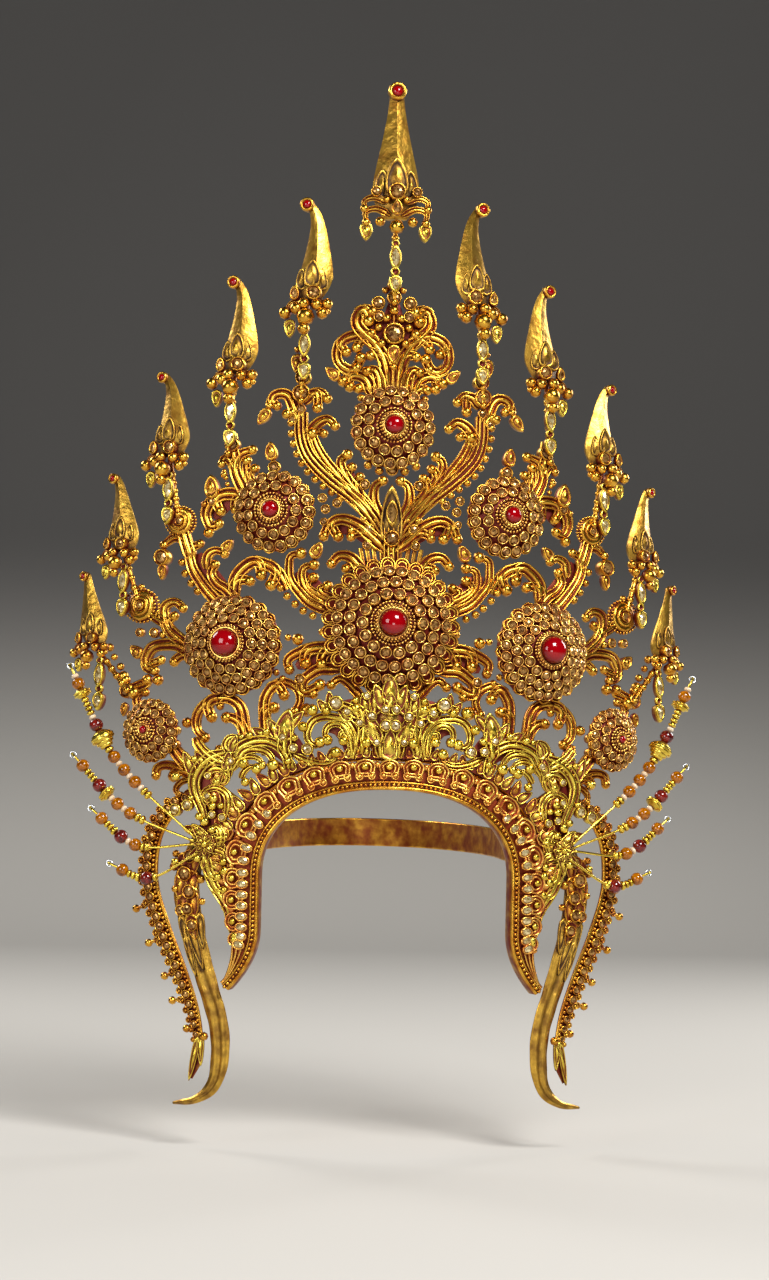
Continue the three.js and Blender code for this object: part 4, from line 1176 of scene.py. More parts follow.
# Balls on the lattice as x, z, radius
LATTICE_BALLS = [
    (157, 92.5, 4.6), (162.5, 100.5, 3.4), (142.5, 101.2, 3.8), (8, 236, 3), (15, 239.5, 3),
    (68, 161, 2.7), (64, 156, 2.7), (59, 151, 2.7), (54, 147, 2.7), (48, 144, 2.6), (127, 169, 2.7),
    (123, 163, 2.9), (119, 158, 2.9), (129, 176, 2.7), (116, 213, 2.4), (113, 195, 3.6), (154, 160, 2.2),
    (140, 130, 2.7), (149, 101, 4), (57, 129, 4), (51, 85, 4.6), (124, 75, 3.6), (0, 302, 2.8),
    (7.5, 317, 3.2), (9.5, 327, 3), (4.5, 333, 3.2), (0, 338, 3.4), (0, 354, 4.8), (5.5, 351, 2.4),
    (17, 205, 3), (10, 205, 2.2), (25, 198, 2.8), (0, 187, 2.7), (60, 312, 2.2), (63, 130, 2.4),
    (66, 104, 2.6), (173, 121, 2.9), (170, 115, 2.4), (166, 109, 2.7), (164, 103, 3.6), (20, 282, 2.6),
    (104, 232, 2.6), (42, 134, 2.6), (70, 108, 2.4), (12, 157, 3), (26, 158, 3),
]
# Round settings on the lattice as x, z, radius
LATTICE_GEMS = [
    (0, 237, 4.2), (57, 284, 6), (56, 294, 5.2), (57, 274, 3.2), (99, 251, 5), (73, 237, 4.2),
    (145, 131, 3.4), (154, 131, 3), (161, 94, 5.2), (9.5, 334, 3.8), (10, 342.5, 4.5), (0, 323, 7.2),
    (0, 346, 4.8), (17, 227, 3.4), (41, 211, 3.1), (43, 218, 3.1), (34, 215, 3.1), (14, 199, 3.7),
    (15, 189, 3.2), (141, 179, 5.6), (131, 70, 3.4), (131, 61, 3.4), (55, 104, 3.6), (0, 243, 3.4),
    (111, 215, 3.2), (42, 203, 2.6), (62, 267, 3),
]
# Pear drops as x, z, half width, half length, clockwise turn from pointing up
LATTICE_PEARS = [
    (80, 269, 4, 6.4, 145), (111, 224, 5.4, 8, 8), (75, 247, 4.5, 6.4, 8), (156, 119, 4.2, 5.6, 50),
    (141, 170, 3.4, 5.5, 180), (101, 187, 3.7, 5.2, -40), (38, 297, 4, 6, 50), (46, 185, 4.4, 6, -25),
    (0, 310, 4.6, 6.6, 180), (60, 303, 4.4, 6.4, 175), (0, 180, 3, 5, 180), (163, 82, 2.8, 4.6, 175),
]
# Rows of balls as knots, radius and pitch
LATTICE_ROWS = [
    ([(63, 272), (63, 259), (59, 245), (52, 234), (43, 226), (32, 218)], 2.7, 6.2),
    ([(8, 290), (12, 296), (14, 300)], 1.6, 4),
    ([(102, 226), (104, 234)], 1.8, 4.2),
    ([(20, 175), (10, 172), (0, 171)], 1.8, 3.9),
]
# Red ground behind the densest scrolls, also painted shade in their openings, as a path and its half width
LATTICE_GROUND = [
    ([(30, 146), (46, 157), (58, 172)], 8), ([(32, 119), (46, 118), (58, 112)], 6),
    ([(4, 160), (14, 172), (28, 178)], 7), ([(4, 186), (20, 199), (36, 200)], 6),
    ([(8, 204), (22, 220), (30, 240)], 6), ([(2, 326), (10, 328), (18, 334)], 8),
    ([(94, 216), (104, 214), (110, 204)], 5), ([(96, 148), (112, 166), (120, 182)], 7),
    ([(0, 306), (0, 320), (0, 346)], 7),
]
# Thin ribs that fan out above the middle rosette, as their two ends
LATTICE_RIBS = [((17, 176), (19, 187)), ((13, 175), (15, 186)), ((9, 174), (11, 187)), ((5, 174), (6, 187))]
RIB_HALF = 1.6
# Small rosettes and the seats of the large ones as x, z, radius
SMALL_ROSETTES = [(130, 202, 9.6), (153, 148, 10.7)]
SEATS = [(0, 138, 33), (0, 263, 20), (96, 124, 24), (72, 208.5, 20), (145, 69, 15)]
# Uprights in the middle as section, heights, half width and lift
UPRIGHTS = [
    ("scroll", (160, 180, 200), 5, 0), ("scroll", (240, 255, 270), 4.5, 0),
    ("ribbon", (282, 300, 352), 2.6, -0.6),
]
# The spear leaf in the middle, its stone and the stone below it
SPEAR_HEIGHT = 208
SPEAR_SIZE = (8.5, 20, 5)
SPEAR_STONE = (3.8, 9)
SPEAR_FOOT = 193
SPEAR_FOOT_STONE = 5.4
# Wire rings and granules of a small rosette, as shares of its radius
SMALL_RINGS = (0.92, 0.62)
SMALL_GRANULES = (0.98, 0.78)
SMALL_GRANULE = 0.1
SMALL_STONE = 0.3


def small_rosette(work, x, z, radius, lift):
    """Rings of wire and granules round a boss."""
    work.set("disc", x, z, lift, (radius, radius, 1.4))
    for share in SMALL_RINGS:
        work.set("ring", x, z, lift + 2.2 + 3 * (1 - share), (share * radius, share * radius, 2.4))
    for share in SMALL_GRANULES:
        count = int(2 * math.pi * share / (2.1 * SMALL_GRANULE))
        for out, up in share * radius * circle(count):
            work.set("ball", x + out, z + up, lift + 1.6 + 2 * (1 - share), SMALL_GRANULE * radius)
    work.gem(x, z, lift + 3.2, SMALL_STONE * radius)


def make_lattice():
    """The soldered scrollwork panel with its bosses, drops and seats."""
    work = Goldwork("gilt")
    scrolls(work, LATTICE, 0, LATTICE_GAIN)
    ground(work, LATTICE_GROUND, -1.1)
    for rib in LATTICE_RIBS:
        work.strip("twig", evenly(rib, 3), RIB_HALF, 0.6)
    work.strip("ribbon", rail_path(), 3.4, -0.4, ONCE)
    work.balls(LATTICE_BALLS, 1.2)
    for x, z, radius in LATTICE_GEMS:
        work.gem(x, z, 1.6, radius)
    for x, z, half, long, turn in LATTICE_PEARS:
        work.set("pear", x, z, 0.8, (half, long, half * 1.2), turn)
    for path, radius, pitch in LATTICE_ROWS:
        work.bead_row(smooth(path, 1), 1.0, radius, pitch)
    for x, z, radius in SMALL_ROSETTES:
        small_rosette(work, x, z, radius, 0.6)
    for x, z, radius in SEATS:
        work.set("disc", x, z, -0.1, (radius, radius, 1.3))
    work.set("leaf", 0, SPEAR_HEIGHT, 1.6, SPEAR_SIZE, metal="flame_gilt")
    work.gem(0, SPEAR_HEIGHT + 1, 4.4, SPEAR_STONE, cut="marquise", metal="flame_gilt")
    work.gem(0, SPEAR_FOOT, 3.4, SPEAR_FOOT_STONE)
    for section, heights, half, lift in UPRIGHTS:
        work.strip(section, [(0, z) for z in heights], half, lift, ONCE)
    piece("lattice_scrollwork", work.meshes(), ["lattice"])


# Crest

HUB = (107, 0)
HUB_RADIUS = 6.5
CREST = [
    Scroll([(22, 55), (20, 65), (22, 73), (26.5, 78), (33, 80), (40, 80.3), (46, 77.5), (49, 71),
        (48.5, 65.5), (45, 62.5), (41.6, 64.6)], 5.2, 3.4),
    Scroll([(22.5, 60), (24.5, 69), (28, 75), (33, 76.4), (37.4, 74), (38.6, 69.5), (37.2, 66)],
        4.4, 3.3),
    Scroll([(22.5, 57), (23, 65), (25, 70.3), (28, 71.2), (29.4, 68.8), (27.6, 65.8)], 3.8, 3.1),
    Scroll([(57, 56.5), (50, 53.3), (43, 51.4), (36.5, 51.8), (31.8, 54.6), (32.2, 58.6)], 4.2, 3.6),
    Scroll([(92.5, 53), (88, 60), (80, 64), (72.5, 64.4), (65.5, 61.3), (61, 55.5), (59.5, 48)], 5.6),
    Scroll([(90, 49), (86.5, 57), (80, 59.3), (74, 58.3), (70, 54.5), (69, 50)], 4.6, 3.8),
    Scroll([(95, 42), (95, 50), (92, 54), (88, 54.6), (86.6, 50.4)], 4.4, 3.5),
    Scroll([(88, 41), (86, 45.4), (82, 48.6), (78.6, 47.4)], 3.4, 3.4),
    Scroll([(93, 46), (88.5, 52.5), (82, 54.6), (77, 53), (75.4, 49.6)], 3.8, 2.8),
    Scroll([(93, 56.5), (97.5, 60.5), (95, 66), (88, 66.5)], 3.8, 2.2),
    Scroll([(97, 57), (105, 53.5), (111.5, 47.5), (115, 40), (114.5, 32), (112, 25.5), (109.6, 19.5),
        (108.5, 14)], 6.4, 3.2),
    Scroll([(98, 50), (104, 53), (109.5, 57), (113.5, 62)], 5.2),
    Scroll([(109, 41), (105, 46.3), (99.5, 46.4), (96.2, 42), (98.5, 37.5), (102, 38.5)], 4.4, 2.7),
    Scroll([(96, 17), (94.5, 26), (97, 32.5), (102.5, 35), (108, 33), (110, 28.5), (107, 25.5),
        (103.6, 28)], 4, 2.8),
    Scroll([(99.5, -1), (98.3, 6), (101, 11.2), (104.2, 9)], 4.4, 2.7),
    Scroll([(106, -2), (110, 4.5), (114, 10)], 6),
    Scroll([(95, 5), (101, 4), (107, 0)], 5.4),
    Scroll([(104, -3), (100, -3.5), (96.5, -6), (97, -10.5)], 4.2, 2.7),
    Scroll([(108, -4), (106, -15), (103, -24), (99, -31), (94, -39), (92, -47), (90, -54)],
        5.2, 0, [(100, -20, 2.8), (96, -28, 2.8)]),
    Scroll([(62.5, 56), (62, 65), (62, 74)], 7),
    Scroll([(5, 56), (7, 69), (11, 74), (16, 71), (14, 65)], 5.4, 3.4),
    Scroll([(17, 58), (15.5, 72), (16.5, 84)], 6, 0, [(20.5, 86, 3.3)]),
    Scroll([(17, 80), (24, 85.5), (32, 87.5), (41, 85)], 5.4),
]
CREST_GAIN = 1.32
# Leaflets along the rail: one at every third point, longer past that x, each turned from its neighbours
RAIL_LEAF_STEP = 3
RAIL_LEAF_TALL = 58
RAIL_LEAF_TURN = 16
RAIL_TALL_LEAF = (3.8, 6.5)
RAIL_LOW_LEAF = (3, 4.4)
# Shares of the way to a cheek point where studs tie the rail to the petals
RAIL_STUDS = (0, 0.22, 0.44)
STUD_SIZE = (2.3, 2.3, 3.4)
STUD_LIFT = 5
HUB_SEAT = 7.4
HUB_SEAT_BEADS = 6.8
# Lacquered ground behind the crest's scrolls, also painted shade in their openings: lines through x, z, and
# half widths
CREST_GROUND = [
    ([(24, 56), (25, 66), (31, 73), (39, 73)], 4.5), ([(60, 50), (66, 58), (77, 61), (88, 56)], 4),
    ([(112, 46), (107, 34), (104, 20), (106, 4)], 9), ([(12, 62), (15, 74), (20, 86), (34, 86)], 6),
    ([(50, 56), (58, 62), (62, 72)], 6), ([(106, -2), (104, -16), (97, -32)], 6),
]
# Round settings and balls on the crest as x, z, radius
CREST_GEMS = [
    (48.6, 60, 3.9), (32.2, 88.5, 5), (11, 81, 3.4), (18, 77, 2.8), (2.8, 75.3, 4), (3.2, 85.2, 3.2),
    (14, 93.6, 2.6), (8, 65, 2.6), (63.4, 67, 3), (57, 60.4, 3.2), (106.4, 42, 2.4), (106.6, 29.6, 2.4),
    (97.5, 17, 2.8), (118, 23.6, 3.8), (125, 20.4, 4.2), (25.6, 83.6, 2.8), (103.5, 18.5, 2.6),
    (93, 51.5, 2.8),
]
CREST_BALLS = [
    (51.7, 73.8, 3.5), (46.3, 84.3, 4), (83, 67.6, 2.9), (89, -56, 3), (96, -16, 3), (125.6, 40.8, 3),
    (125, -12, 2.8), (111.6, 17, 2.8), (20.5, 91, 2.6), (38, 84.2, 2.9), (73, 70, 2.8), (85, 39, 3),
    (116.6, 28, 2.4), (103.8, 23.6, 3), (99, 24, 2.4), (115, 52, 2.6), (60, 52.6, 2.6), (112, -9, 3),
    (56.5, 66.6, 2.6),
]
# Leaves as x, z, half width, half length, clockwise turn, extra lift
CREST_LEAVES = [
    (0, 83, 14, 24, 0, 0), (0, 98, 6.5, 10, 0, 2.4), (6.2, 93, 5, 9.5, 24, 1.8), (0, 89, 5.5, 8, 0, 3),
    (0, 64, 6, 11, 0, 1.6), (11, 75, 6, 13, 24, 1), (62, 74.5, 7.5, 11, -10, 0.8),
    (56.4, 78, 4.4, 8, -44, 0.3), (69, 72.5, 4.6, 8, 34, 0.3), (77, 69.4, 4, 7, 62, 0),
    (21, 86, 4.8, 7, 8, 0.4), (27.5, 83, 4.2, 7, 44, 0.6), (15, 88.4, 4.4, 8, 12, 0.6),
    (9.5, 90, 4.4, 9, 8, 0.6), (40, 86.6, 3.8, 6.5, 40, 0), (36, 91, 3.4, 6, 8, 0),
    (92, 62, 3.6, 6.5, -14, 0.8), (95.4, 51.5, 4.2, 7, -8, 0.8), (118.5, 49.5, 4.2, 9, 28, 0.6),
    (111.4, 52, 3.6, 7, 42, 0.4), (111, 7, 4.4, 8, 46, 1), (116.4, 8.6, 3.8, 6, 74, 0.8),
    (112.6, -6, 4.4, 7, 118, 1), (108, -9, 4, 7.5, 172, 0.8), (100.5, 41, 3.4, 6, -30, 0.2),
]
# Red gold leaves that fill the cheek as x, z, half width, half length, clockwise turn
CHEEK_LEAVES = [
    (98, 10, 6, 9, 40), (101, -3, 6, 9, 60), (101, -13, 6, 9, 64), (99, -22, 5.5, 8, 68),
    (96, -31, 5, 7, 72), (93, -40, 4, 6, 80), (93, 22, 5, 8, 30), (104, 30, 6, 8, 10),
    (102, 42, 6, 8, 20),
]


def make_crest():
    """Bright openwork frontlet: nested scrolls, a pointed lotus leaf, and an arm to each ear."""
    work = Goldwork("bright_gilt")
    lift = CREST_LIFT + 1.2
    scrolls(work, CREST, lift, CREST_GAIN)
    ground(work, CREST_GROUND, lift - 1.6)
    rail = rail_path()
    work.strip("plate", rail, 2.2, lift - 0.8, ONCE)
    leaflets = Goldwork("bright_gilt", ONCE)
    outward = headings(rail) + math.pi / 2
    for k in range(2, len(rail), RAIL_LEAF_STEP):
        half, long = RAIL_TALL_LEAF if abs(rail[k][0]) > RAIL_LEAF_TALL else RAIL_LOW_LEAF
        place = rail[k] + 0.5 * long * np.array((math.cos(outward[k]), math.sin(outward[k])))
        turn = 90 - math.degrees(outward[k]) + RAIL_LEAF_TURN * (-1) ** k
        leaflets.set("leaf", *place, lift - 0.3, (half, long, 3.2), turn, "gilt" if k % 2 else None)
    for x, z, radius in CREST_GEMS:
        work.gem(x, z, lift + 2.6 + 2 * (x < 9), radius, glass="clear_crystal")
    work.balls(CREST_BALLS, lift + 1.6)
    for *leaf, rise in CREST_LEAVES:
        work.leaves([leaf], lift + rise, 3.6)
    work.leaves(CHEEK_LEAVES, lift - 1, 4, "red_gilt")
    work.set("disc", *HUB, lift, (HUB_SEAT, HUB_SEAT, 1.3))
    work.bead_row(np.array(HUB) + HUB_SEAT_BEADS * circle(24), lift + 1.3, 1.0, 2.4)
    for share in RAIL_STUDS:
        place = rail[round((0.5 + share / RAIL_END / 2) * (len(rail) - 1))]
        work.set("disc", *place, STUD_LIFT, STUD_SIZE)
    piece("crest_openwork", work.meshes() + leaflets.meshes(), ["crest"])


# Rosettes: places, radii, and the radii of the rings of settings

Rosette = namedtuple("Rosette", "name x z radius ruby cup setting rings")
ROSETTES = [
    Rosette("centre", 0, 138, 43, 8.6, 11.2, 4.1, (33.6, 26, 18.2)),
    Rosette("upper", 0, 263, 26.5, 6, 8.4, 3.9, (22.6, 15.6)),
    Rosette("side", 96, 124, 32, 8.8, 11.2, 3.6, (27.4, 21.6, 15.8)),
    Rosette("high", 72, 208.5, 26, 5.4, 8, 3.7, (21.8, 15)),
    Rosette("low", 145, 69, 20, 2.6, 5, 3.2, (16.8, 11.4)),
]
# The cone under the settings as shares of the radius: out, up
ROSETTE_TIERS = [
    (0.97, 0), (0.97, 0.06), (0.76, 0.16), (0.74, 0.22), (0.56, 0.3), (0.53, 0.36), (0.36, 0.42),
    (0, 0.43),
]
ROSETTE_LIFT = 1.8
CUP_HEIGHT = 0.52
# Heights of what stands on the cone at shares of the radius
RING_SHARES = (0.36, 0.52, 0.68, 0.84)
RING_HEIGHTS = (0.47, 0.38, 0.28, 0.17)
# Distance between rings of granules, and between granules in their own radii
GRANULE_STEP = 2.1
GRANULE_PITCH = 2.1
# How far the fringe and the granules lean outwards, in radians
FRINGE_TILT = 0.3
# The fringe's loops: half width as a share of the radius and at most, and their pitch in half widths
FRINGE_HALF = 0.16
FRINGE_MOST = 4.8
FRINGE_PITCH = 1.9
# Distance between settings in their own radii
SETTING_PITCH = 1.86
CONE_SIDES = 36
CUP_SIDES = 30


def ring(name, metal, count, radius, height, size, tilt):
    """A ring of one shape round a rosette's axis."""
    carrier = new_mesh("axis", [(0, 0, 0)])
    return made_by(
        "ring", carrier, shape=shape(name), count=count, ring_radius=radius * MM, height=height * MM,
        size=[v * MM for v in size], tilt=tilt, material=finish(metal),
    )


def turned(levels, sides):
    """A turned gilt mesh through levels of radius, height, and patina with painted shade."""
    levels = [(radius * MM, height * MM, patina_and_shade_level) for radius, height, patina_and_shade_level in levels]
    return with_finish(relief(circle(sides), levels, True), "setting_gilt")


def cone_height(row, reach):
    """How high the settings stand on a rosette's cone at that distance from its axis."""
    return np.interp(reach / row.radius, RING_SHARES, RING_HEIGHTS) * row.radius


def rosette_meshes(row, sizes):
    """Stepped rings of set stones on a lacquered cone, with a granulated cup for the ruby."""
    tiers = [(share * row.radius, height * row.radius, 1) for share, height in ROSETTE_TIERS]
    made = [turned(tiers, CONE_SIDES)]
    for reach in row.rings:
        count = int(2 * math.pi * reach / (SETTING_PITCH * row.setting))
        place = (count, reach, cone_height(row, reach), (row.setting,) * 3, sizes.settings_tilt)
        made.append(ring("bezel", "setting_gilt", *place))
        made.append(ring("stone", "crystal", *place))
    loop = min(FRINGE_MOST, FRINGE_HALF * row.radius)
    fringe = int(2 * math.pi * 0.92 * row.radius / (FRINGE_PITCH * loop))
    size = (loop, 1.25 * loop, loop)
    reach = row.radius - 1.1 * loop
    made.append(ring("arch", "gilt", fringe, reach, 0.05 * row.radius + 0.6, size, FRINGE_TILT))
    top = CUP_HEIGHT * row.radius
    made.append(turned([
        (row.cup + 1, 0.36 * row.radius, 1), (row.cup + 0.6, top - 2, 0.9), (row.cup, top - 1, 0.5),
        (row.ruby + 1.6, top + 1.2, 0.1), (row.ruby + 0.4, top + 1.6, 0), (row.ruby - 0.2, top + 0.6, 0.8),
        (0, top, 1),
    ], CUP_SIDES))
    granule = sizes.granule / MM
    granule_rings = [(row.cup + 0.2, top - 0.8), (row.ruby + 1.9, top + 1.1)]
    for reach in np.arange(row.cup + 2.3, row.rings[-1] - 0.8 * row.setting, GRANULE_STEP):
        granule_rings.append((reach, cone_height(row, reach) + 0.3))
    for reach, height in granule_rings:
        count = int(2 * math.pi * reach / (GRANULE_PITCH * granule))
        made.append(ring("ball", "setting_gilt", count, reach, height, (granule,) * 3, FRINGE_TILT))
    return made


def sided(rows):
    """Rows in the middle once, and all others on both sides, with their names and sides."""
    for row in rows:
        if row.x == 0:
            yield row, row.name, 1
        else:
            for word, side in SIDES.items():
                yield row, f"{row.name}_{word}", side


def make_rosettes():
    """Every rosette, and the ruby in its cup."""
    sizes = bpy.context.scene.crown_sizes
    for row, name, side in sided(ROSETTES):
        made = [onto_face(mesh, side * row.x, row.z, ROSETTE_LIFT) for mesh in rosette_meshes(row, sizes)]
        piece(f"rosette_{name}_settings", made, [f"rosette_{name}"])
        stone = Goldwork("ruby", ONCE)
        lift = ROSETTE_LIFT + 0.5 + CUP_HEIGHT * row.radius
        stone.set("cabochon", side * row.x, row.z, lift, row.ruby)
        piece(f"ruby_{name}_cabochon", stone.meshes(), [f"ruby_{name}"])


# Spires

Spire = namedtuple("Spire", "name x z height width sway lean foot")
SPIRES = [
    Spire("centre", 0, 384, 99, 29, 0, 0, (0, 343)),
    Spire("1", 54, 332, 76, 21, 6, 0, (57, 279)),
    Spire("2", 98, 287, 71, 20, 5, 0, (101, 245)),
    Spire("3", 136.5, 235, 62, 19, 4, 4, (131, 206)),
    Spire("4", 163.5, 175, 57, 17, 2, 6, (155, 153)),
    Spire("5", 179.5, 115, 54, 16, 0, 7, (160, 94)),
]
# Body of a spire as shares of its height, width and sway
SPIRE_BODY = [
    (0.12, 0.5, 0.1), (0.18, 0.8, 0.3), (0.26, 0.97, 0.6), (0.34, 1, 0.85), (0.46, 0.86, 1),
    (0.58, 0.68, 1.05), (0.7, 0.52, 1.05), (0.8, 0.4, 0.95), (0.88, 0.33, 0.7), (0.94, 0.29, 0.3),
    (0.98, 0.2, 0.05),
]
SPIRE_AROUND = 24
SPIRE_STEPS = 34
# The section's roundness, and its depth for its half width, in front and behind;
# a roundness of one is two flat facets, and two is round
SPIRE_ROUND = (1.1, 2.0)
SPIRE_DEPTH = (0.52, 0.75)
SPIRE_LIFT = 4
# What gathers at a spire's foot, for the middle spire and the others, in shares of the width:
# shape, outward and upward places, and radius, or half width and half length
SPIRE_CLUSTERS = {
    True: [
        ("ball", 0, 0.17, 0.15), ("ball", -0.34, 0.3, 0.1), ("ball", 0.34, 0.3, 0.1),
        ("pear", 0, 0.6, 0.14, 0.19), ("round", 0, 0.94, 0.2), ("round", -0.43, 0.97, 0.12),
        ("round", 0.43, 0.97, 0.12), ("ball", -0.2, 0.78, 0.08), ("ball", 0.2, 0.78, 0.08),
    ],
    False: [
        ("ball", 0.62, 0.1, 0.18), ("ball", 0.3, 0.22, 0.18), ("ball", 0, -0.04, 0.25),
        ("ball", -0.45, 0.1, 0.17), ("pear", 0.42, 0.7, 0.16, 0.24), ("ball", -0.55, 0.38, 0.16),
        ("round", -0.14, 0.7, 0.24), ("ball", 0.05, -0.4, 0.17), ("ball", 0.1, 0.36, 0.17),
        ("ball", -0.26, 0.34, 0.17),
    ],
}
# Volutes on each side of the foot as outward and upward shares of the width
SPIRE_VOLUTES = {
    True: [
        [(0.2, 0.74), (0.45, 0.85), (0.66, 0.78), (0.67, 0.6)],
        [(0.13, 0.46), (0.41, 0.6), (0.64, 0.53), (0.63, 0.3)],
    ],
    False: [[(0.05, 0.34), (0.3, 0.46), (0.52, 0.38), (0.6, 0.16)]],
}
# Leaves hung at the foot as outward and upward shares of the width, half width and half length
SPIRE_HUNG = {True: [(-0.63, 0.1, 0.155, 0.21), (0.63, 0.1, 0.155, 0.21)], False: [(0.48, -0.36, 0.2, 0.29)]}
# Chased leaves as outward and upward shares of the width, half width and half length
SPIRE_LEAVES = [(0, 1.3, 0.3, 0.46), (-0.3, 1.14, 0.2, 0.36), (0.3, 1.14, 0.2, 0.36)]
# Where the stem meets the body and the cup sits, as shares of the height, and the cup's radius
STEM_TOP = 0.1
CUP_AT = 0.945
CUP_RADIUS = 0.06
STEM_RADIUS = 1.5
STEM_BEAD = 2.6
STEM_STEP = 5.2


def spire_body(row, side):
    """A bud with two facets in front that narrows to a neck and leans to its tip."""
    knots = np.array(SPIRE_BODY) * (row.height, row.width, row.sway)
    table = smooth(knots, row.height / SPIRE_STEPS)
    angle = np.arange(SPIRE_AROUND) / SPIRE_AROUND * 2 * math.pi
    front = np.sin(angle) > 0
    power = np.where(front, *SPIRE_ROUND)
    reach = (np.abs(np.cos(angle)) ** power + np.abs(np.sin(angle)) ** power) ** (-1 / power)
    depth = np.where(front, *SPIRE_DEPTH)
    rings = []
    for rise, width, sway in table:
        half = width / 2
        x = row.x + rise / row.height * row.lean - sway + half * np.cos(angle) * reach
        lift = SPIRE_LIFT + depth * half * np.sin(angle) * reach
        rings.append(np.stack((side * x, np.full_like(x, row.z + rise), lift), -1)[::side])
    rings = np.array(rings)
    flank = np.where(front, 0.3 * np.abs(np.cos(angle)) ** 6, 0.4)[::side]
    quarter = SPIRE_AROUND // 4
    columns = [c if side > 0 else SPIRE_AROUND - 1 - c for c in (0, quarter, 2 * quarter)]
    return loft("spire", rings, np.tile(flank, (len(rings), 1)), columns)


def stem_top(row):
    return np.array((row.x, row.z + STEM_TOP * row.height))


def make_spire(row, name, side):
    """A faceted bud with leaves, a cluster of stones at its foot, a cup at its tip and a beaded stem."""
    work = Goldwork("gilt", (side,))
    middle = row.x == 0
    body = bend(with_finish(spire_body(row, side), "flame_gilt"))
    unit = row.width
    shift = row.x + 0.3 * row.lean

    def place(out, up):
        return shift + out * unit - 0.45 * max(up, 0) * row.sway, row.z + up * unit

    for kind, out, up, half, *long in SPIRE_CLUSTERS[middle]:
        lift = SPIRE_LIFT + (0.34 - 0.3 * abs(out)) * unit
        if kind == "ball":
            work.set("ball", *place(out, up), lift, 1.14 * half * unit)
        else:
            size = (half * unit, long[0] * unit) if long else half * unit
            work.gem(*place(out, up), lift, size, cut=kind)
    for out, up, half, long in SPIRE_LEAVES:
        lift = SPIRE_LIFT + (0.22 - 0.36 * abs(out)) * unit
        work.set("leaf", *place(out, up), lift, (half * unit, long * unit, 0.12 * unit), metal="flame_gilt")
    for way in BOTH:
        for knots in SPIRE_VOLUTES[middle]:
            line = [place(way * out, up) for out, up in knots]
            scroll(work, Scroll(line, 0.17 * unit, 0.1 * unit), SPIRE_LIFT + 0.12 * unit)
    for out, up, half, long in SPIRE_HUNG[middle]:
        size = (half * unit, long * unit, 0.2 * unit)
        work.set("pear", *place(out, up), SPIRE_LIFT + 0.06 * unit, size, 180, "bright_gilt")
    tip = (row.x + row.lean + 0.5 * (row.x > 0), row.z + CUP_AT * row.height)
    cup = CUP_RADIUS * row.height
    work.set("ball", *tip, SPIRE_LIFT - 0.6, 0.98 * cup)
    work.set("ring", *tip, SPIRE_LIFT + 0.62 * cup, cup)
    work.set("cabochon", *tip, SPIRE_LIFT + 0.62 * cup, 0.6 * cup, metal="ruby")
    stem = np.linspace(stem_top(row), row.foot, 8)
    work.strip("wire", stem, STEM_RADIUS, SPIRE_LIFT)
    work.bead_row(evenly(stem, STEM_STEP)[2:], SPIRE_LIFT, STEM_BEAD, STEM_STEP)
    piece(f"spire_{name}_flame", [body, *work.meshes()], [f"spire_{name}"])


# Drops: how far down the stem they hang, and their rows as shape, place below the hook, and size

DROP_SHARE = 0.24
DROP_LIFT = 7.4
DROP_ROWS = [("ring", -2, 2.6), ("marquise", -11, (3.8, 8.4)), ("ring", -20, 3), ("pear", -28, (4.6, 6))]


def make_drop(row, name, side):
    """Two set stones hung one below the other on jump rings."""
    work = Goldwork("bright_gilt", (side,))
    top = stem_top(row)
    x, z = top + DROP_SHARE * (np.array(row.foot) - top)
    for kind, down, size in DROP_ROWS:
        if kind == "ring":
            work.set("ring", x, z + down, DROP_LIFT, size)
        else:
            turn = 180 if kind == "pear" else 0
            work.gem(x, z + down, DROP_LIFT, size, turn, cut=kind, glass="clear_crystal")
    piece(f"spire_drop_{name}_stones", work.meshes(), [f"spire_drop_{name}"])


def make_spires():
    """Every spire and the drop in front of its stem."""
    for row, name, side in sided(SPIRES):
        make_spire(row, name, side)
        make_drop(row, name, side)


# Bead wires

WIRE_LIFT = 13.2
WIRE_RADIUS = 0.8
# How much of a wire is bare past its last bead
WIRE_END = 7
WIRE_STATIONS = 26
WIRE_SIDES = 8
LOOP_RADIUS = 1.9
LOOP_WIRE = 0.5
LOOP_OPEN = 0.35
LOOP_STATIONS = 18
LOOP_SIDES = 6
Bead = namedtuple("Bead", "radius length finish")
BEADS = {
    "amber": Bead(4.1, 7.6, "amber"), "red": Bead(4.4, 8.2, "garnet"), "pearl": Bead(2.4, 3, "pearl"),
    "gold": Bead(3, 3.6, "bright_gilt"), "disc": Bead(6, 6, "bright_gilt"),
    "spacer": Bead(2.6, 3, "bright_gilt"), "bicone": Bead(8, 12, "bright_gilt"),
}
# Each wire's start angle at the hub, a place on its way, its tip, and its beads from the inside out
BEAD_WIRES = {
    "1": (30, (163, 50.5), (193.7, 110),
          "gold gold pearl amber pearl amber pearl amber gold bicone red pearl "
          "spacer spacer spacer spacer disc amber pearl"),
    "2": (12, (157, 19.5), (190.9, 53.7),
          "gold gold amber pearl amber pearl disc red spacer spacer spacer amber"),
    "3": (-3, (150, -2.3), (178.9, 20.2), "spacer spacer amber pearl red gold spacer spacer amber"),
    "4": (-52, (141, -22.8), (166.7, -14.3), "gold red gold spacer spacer amber"),
}
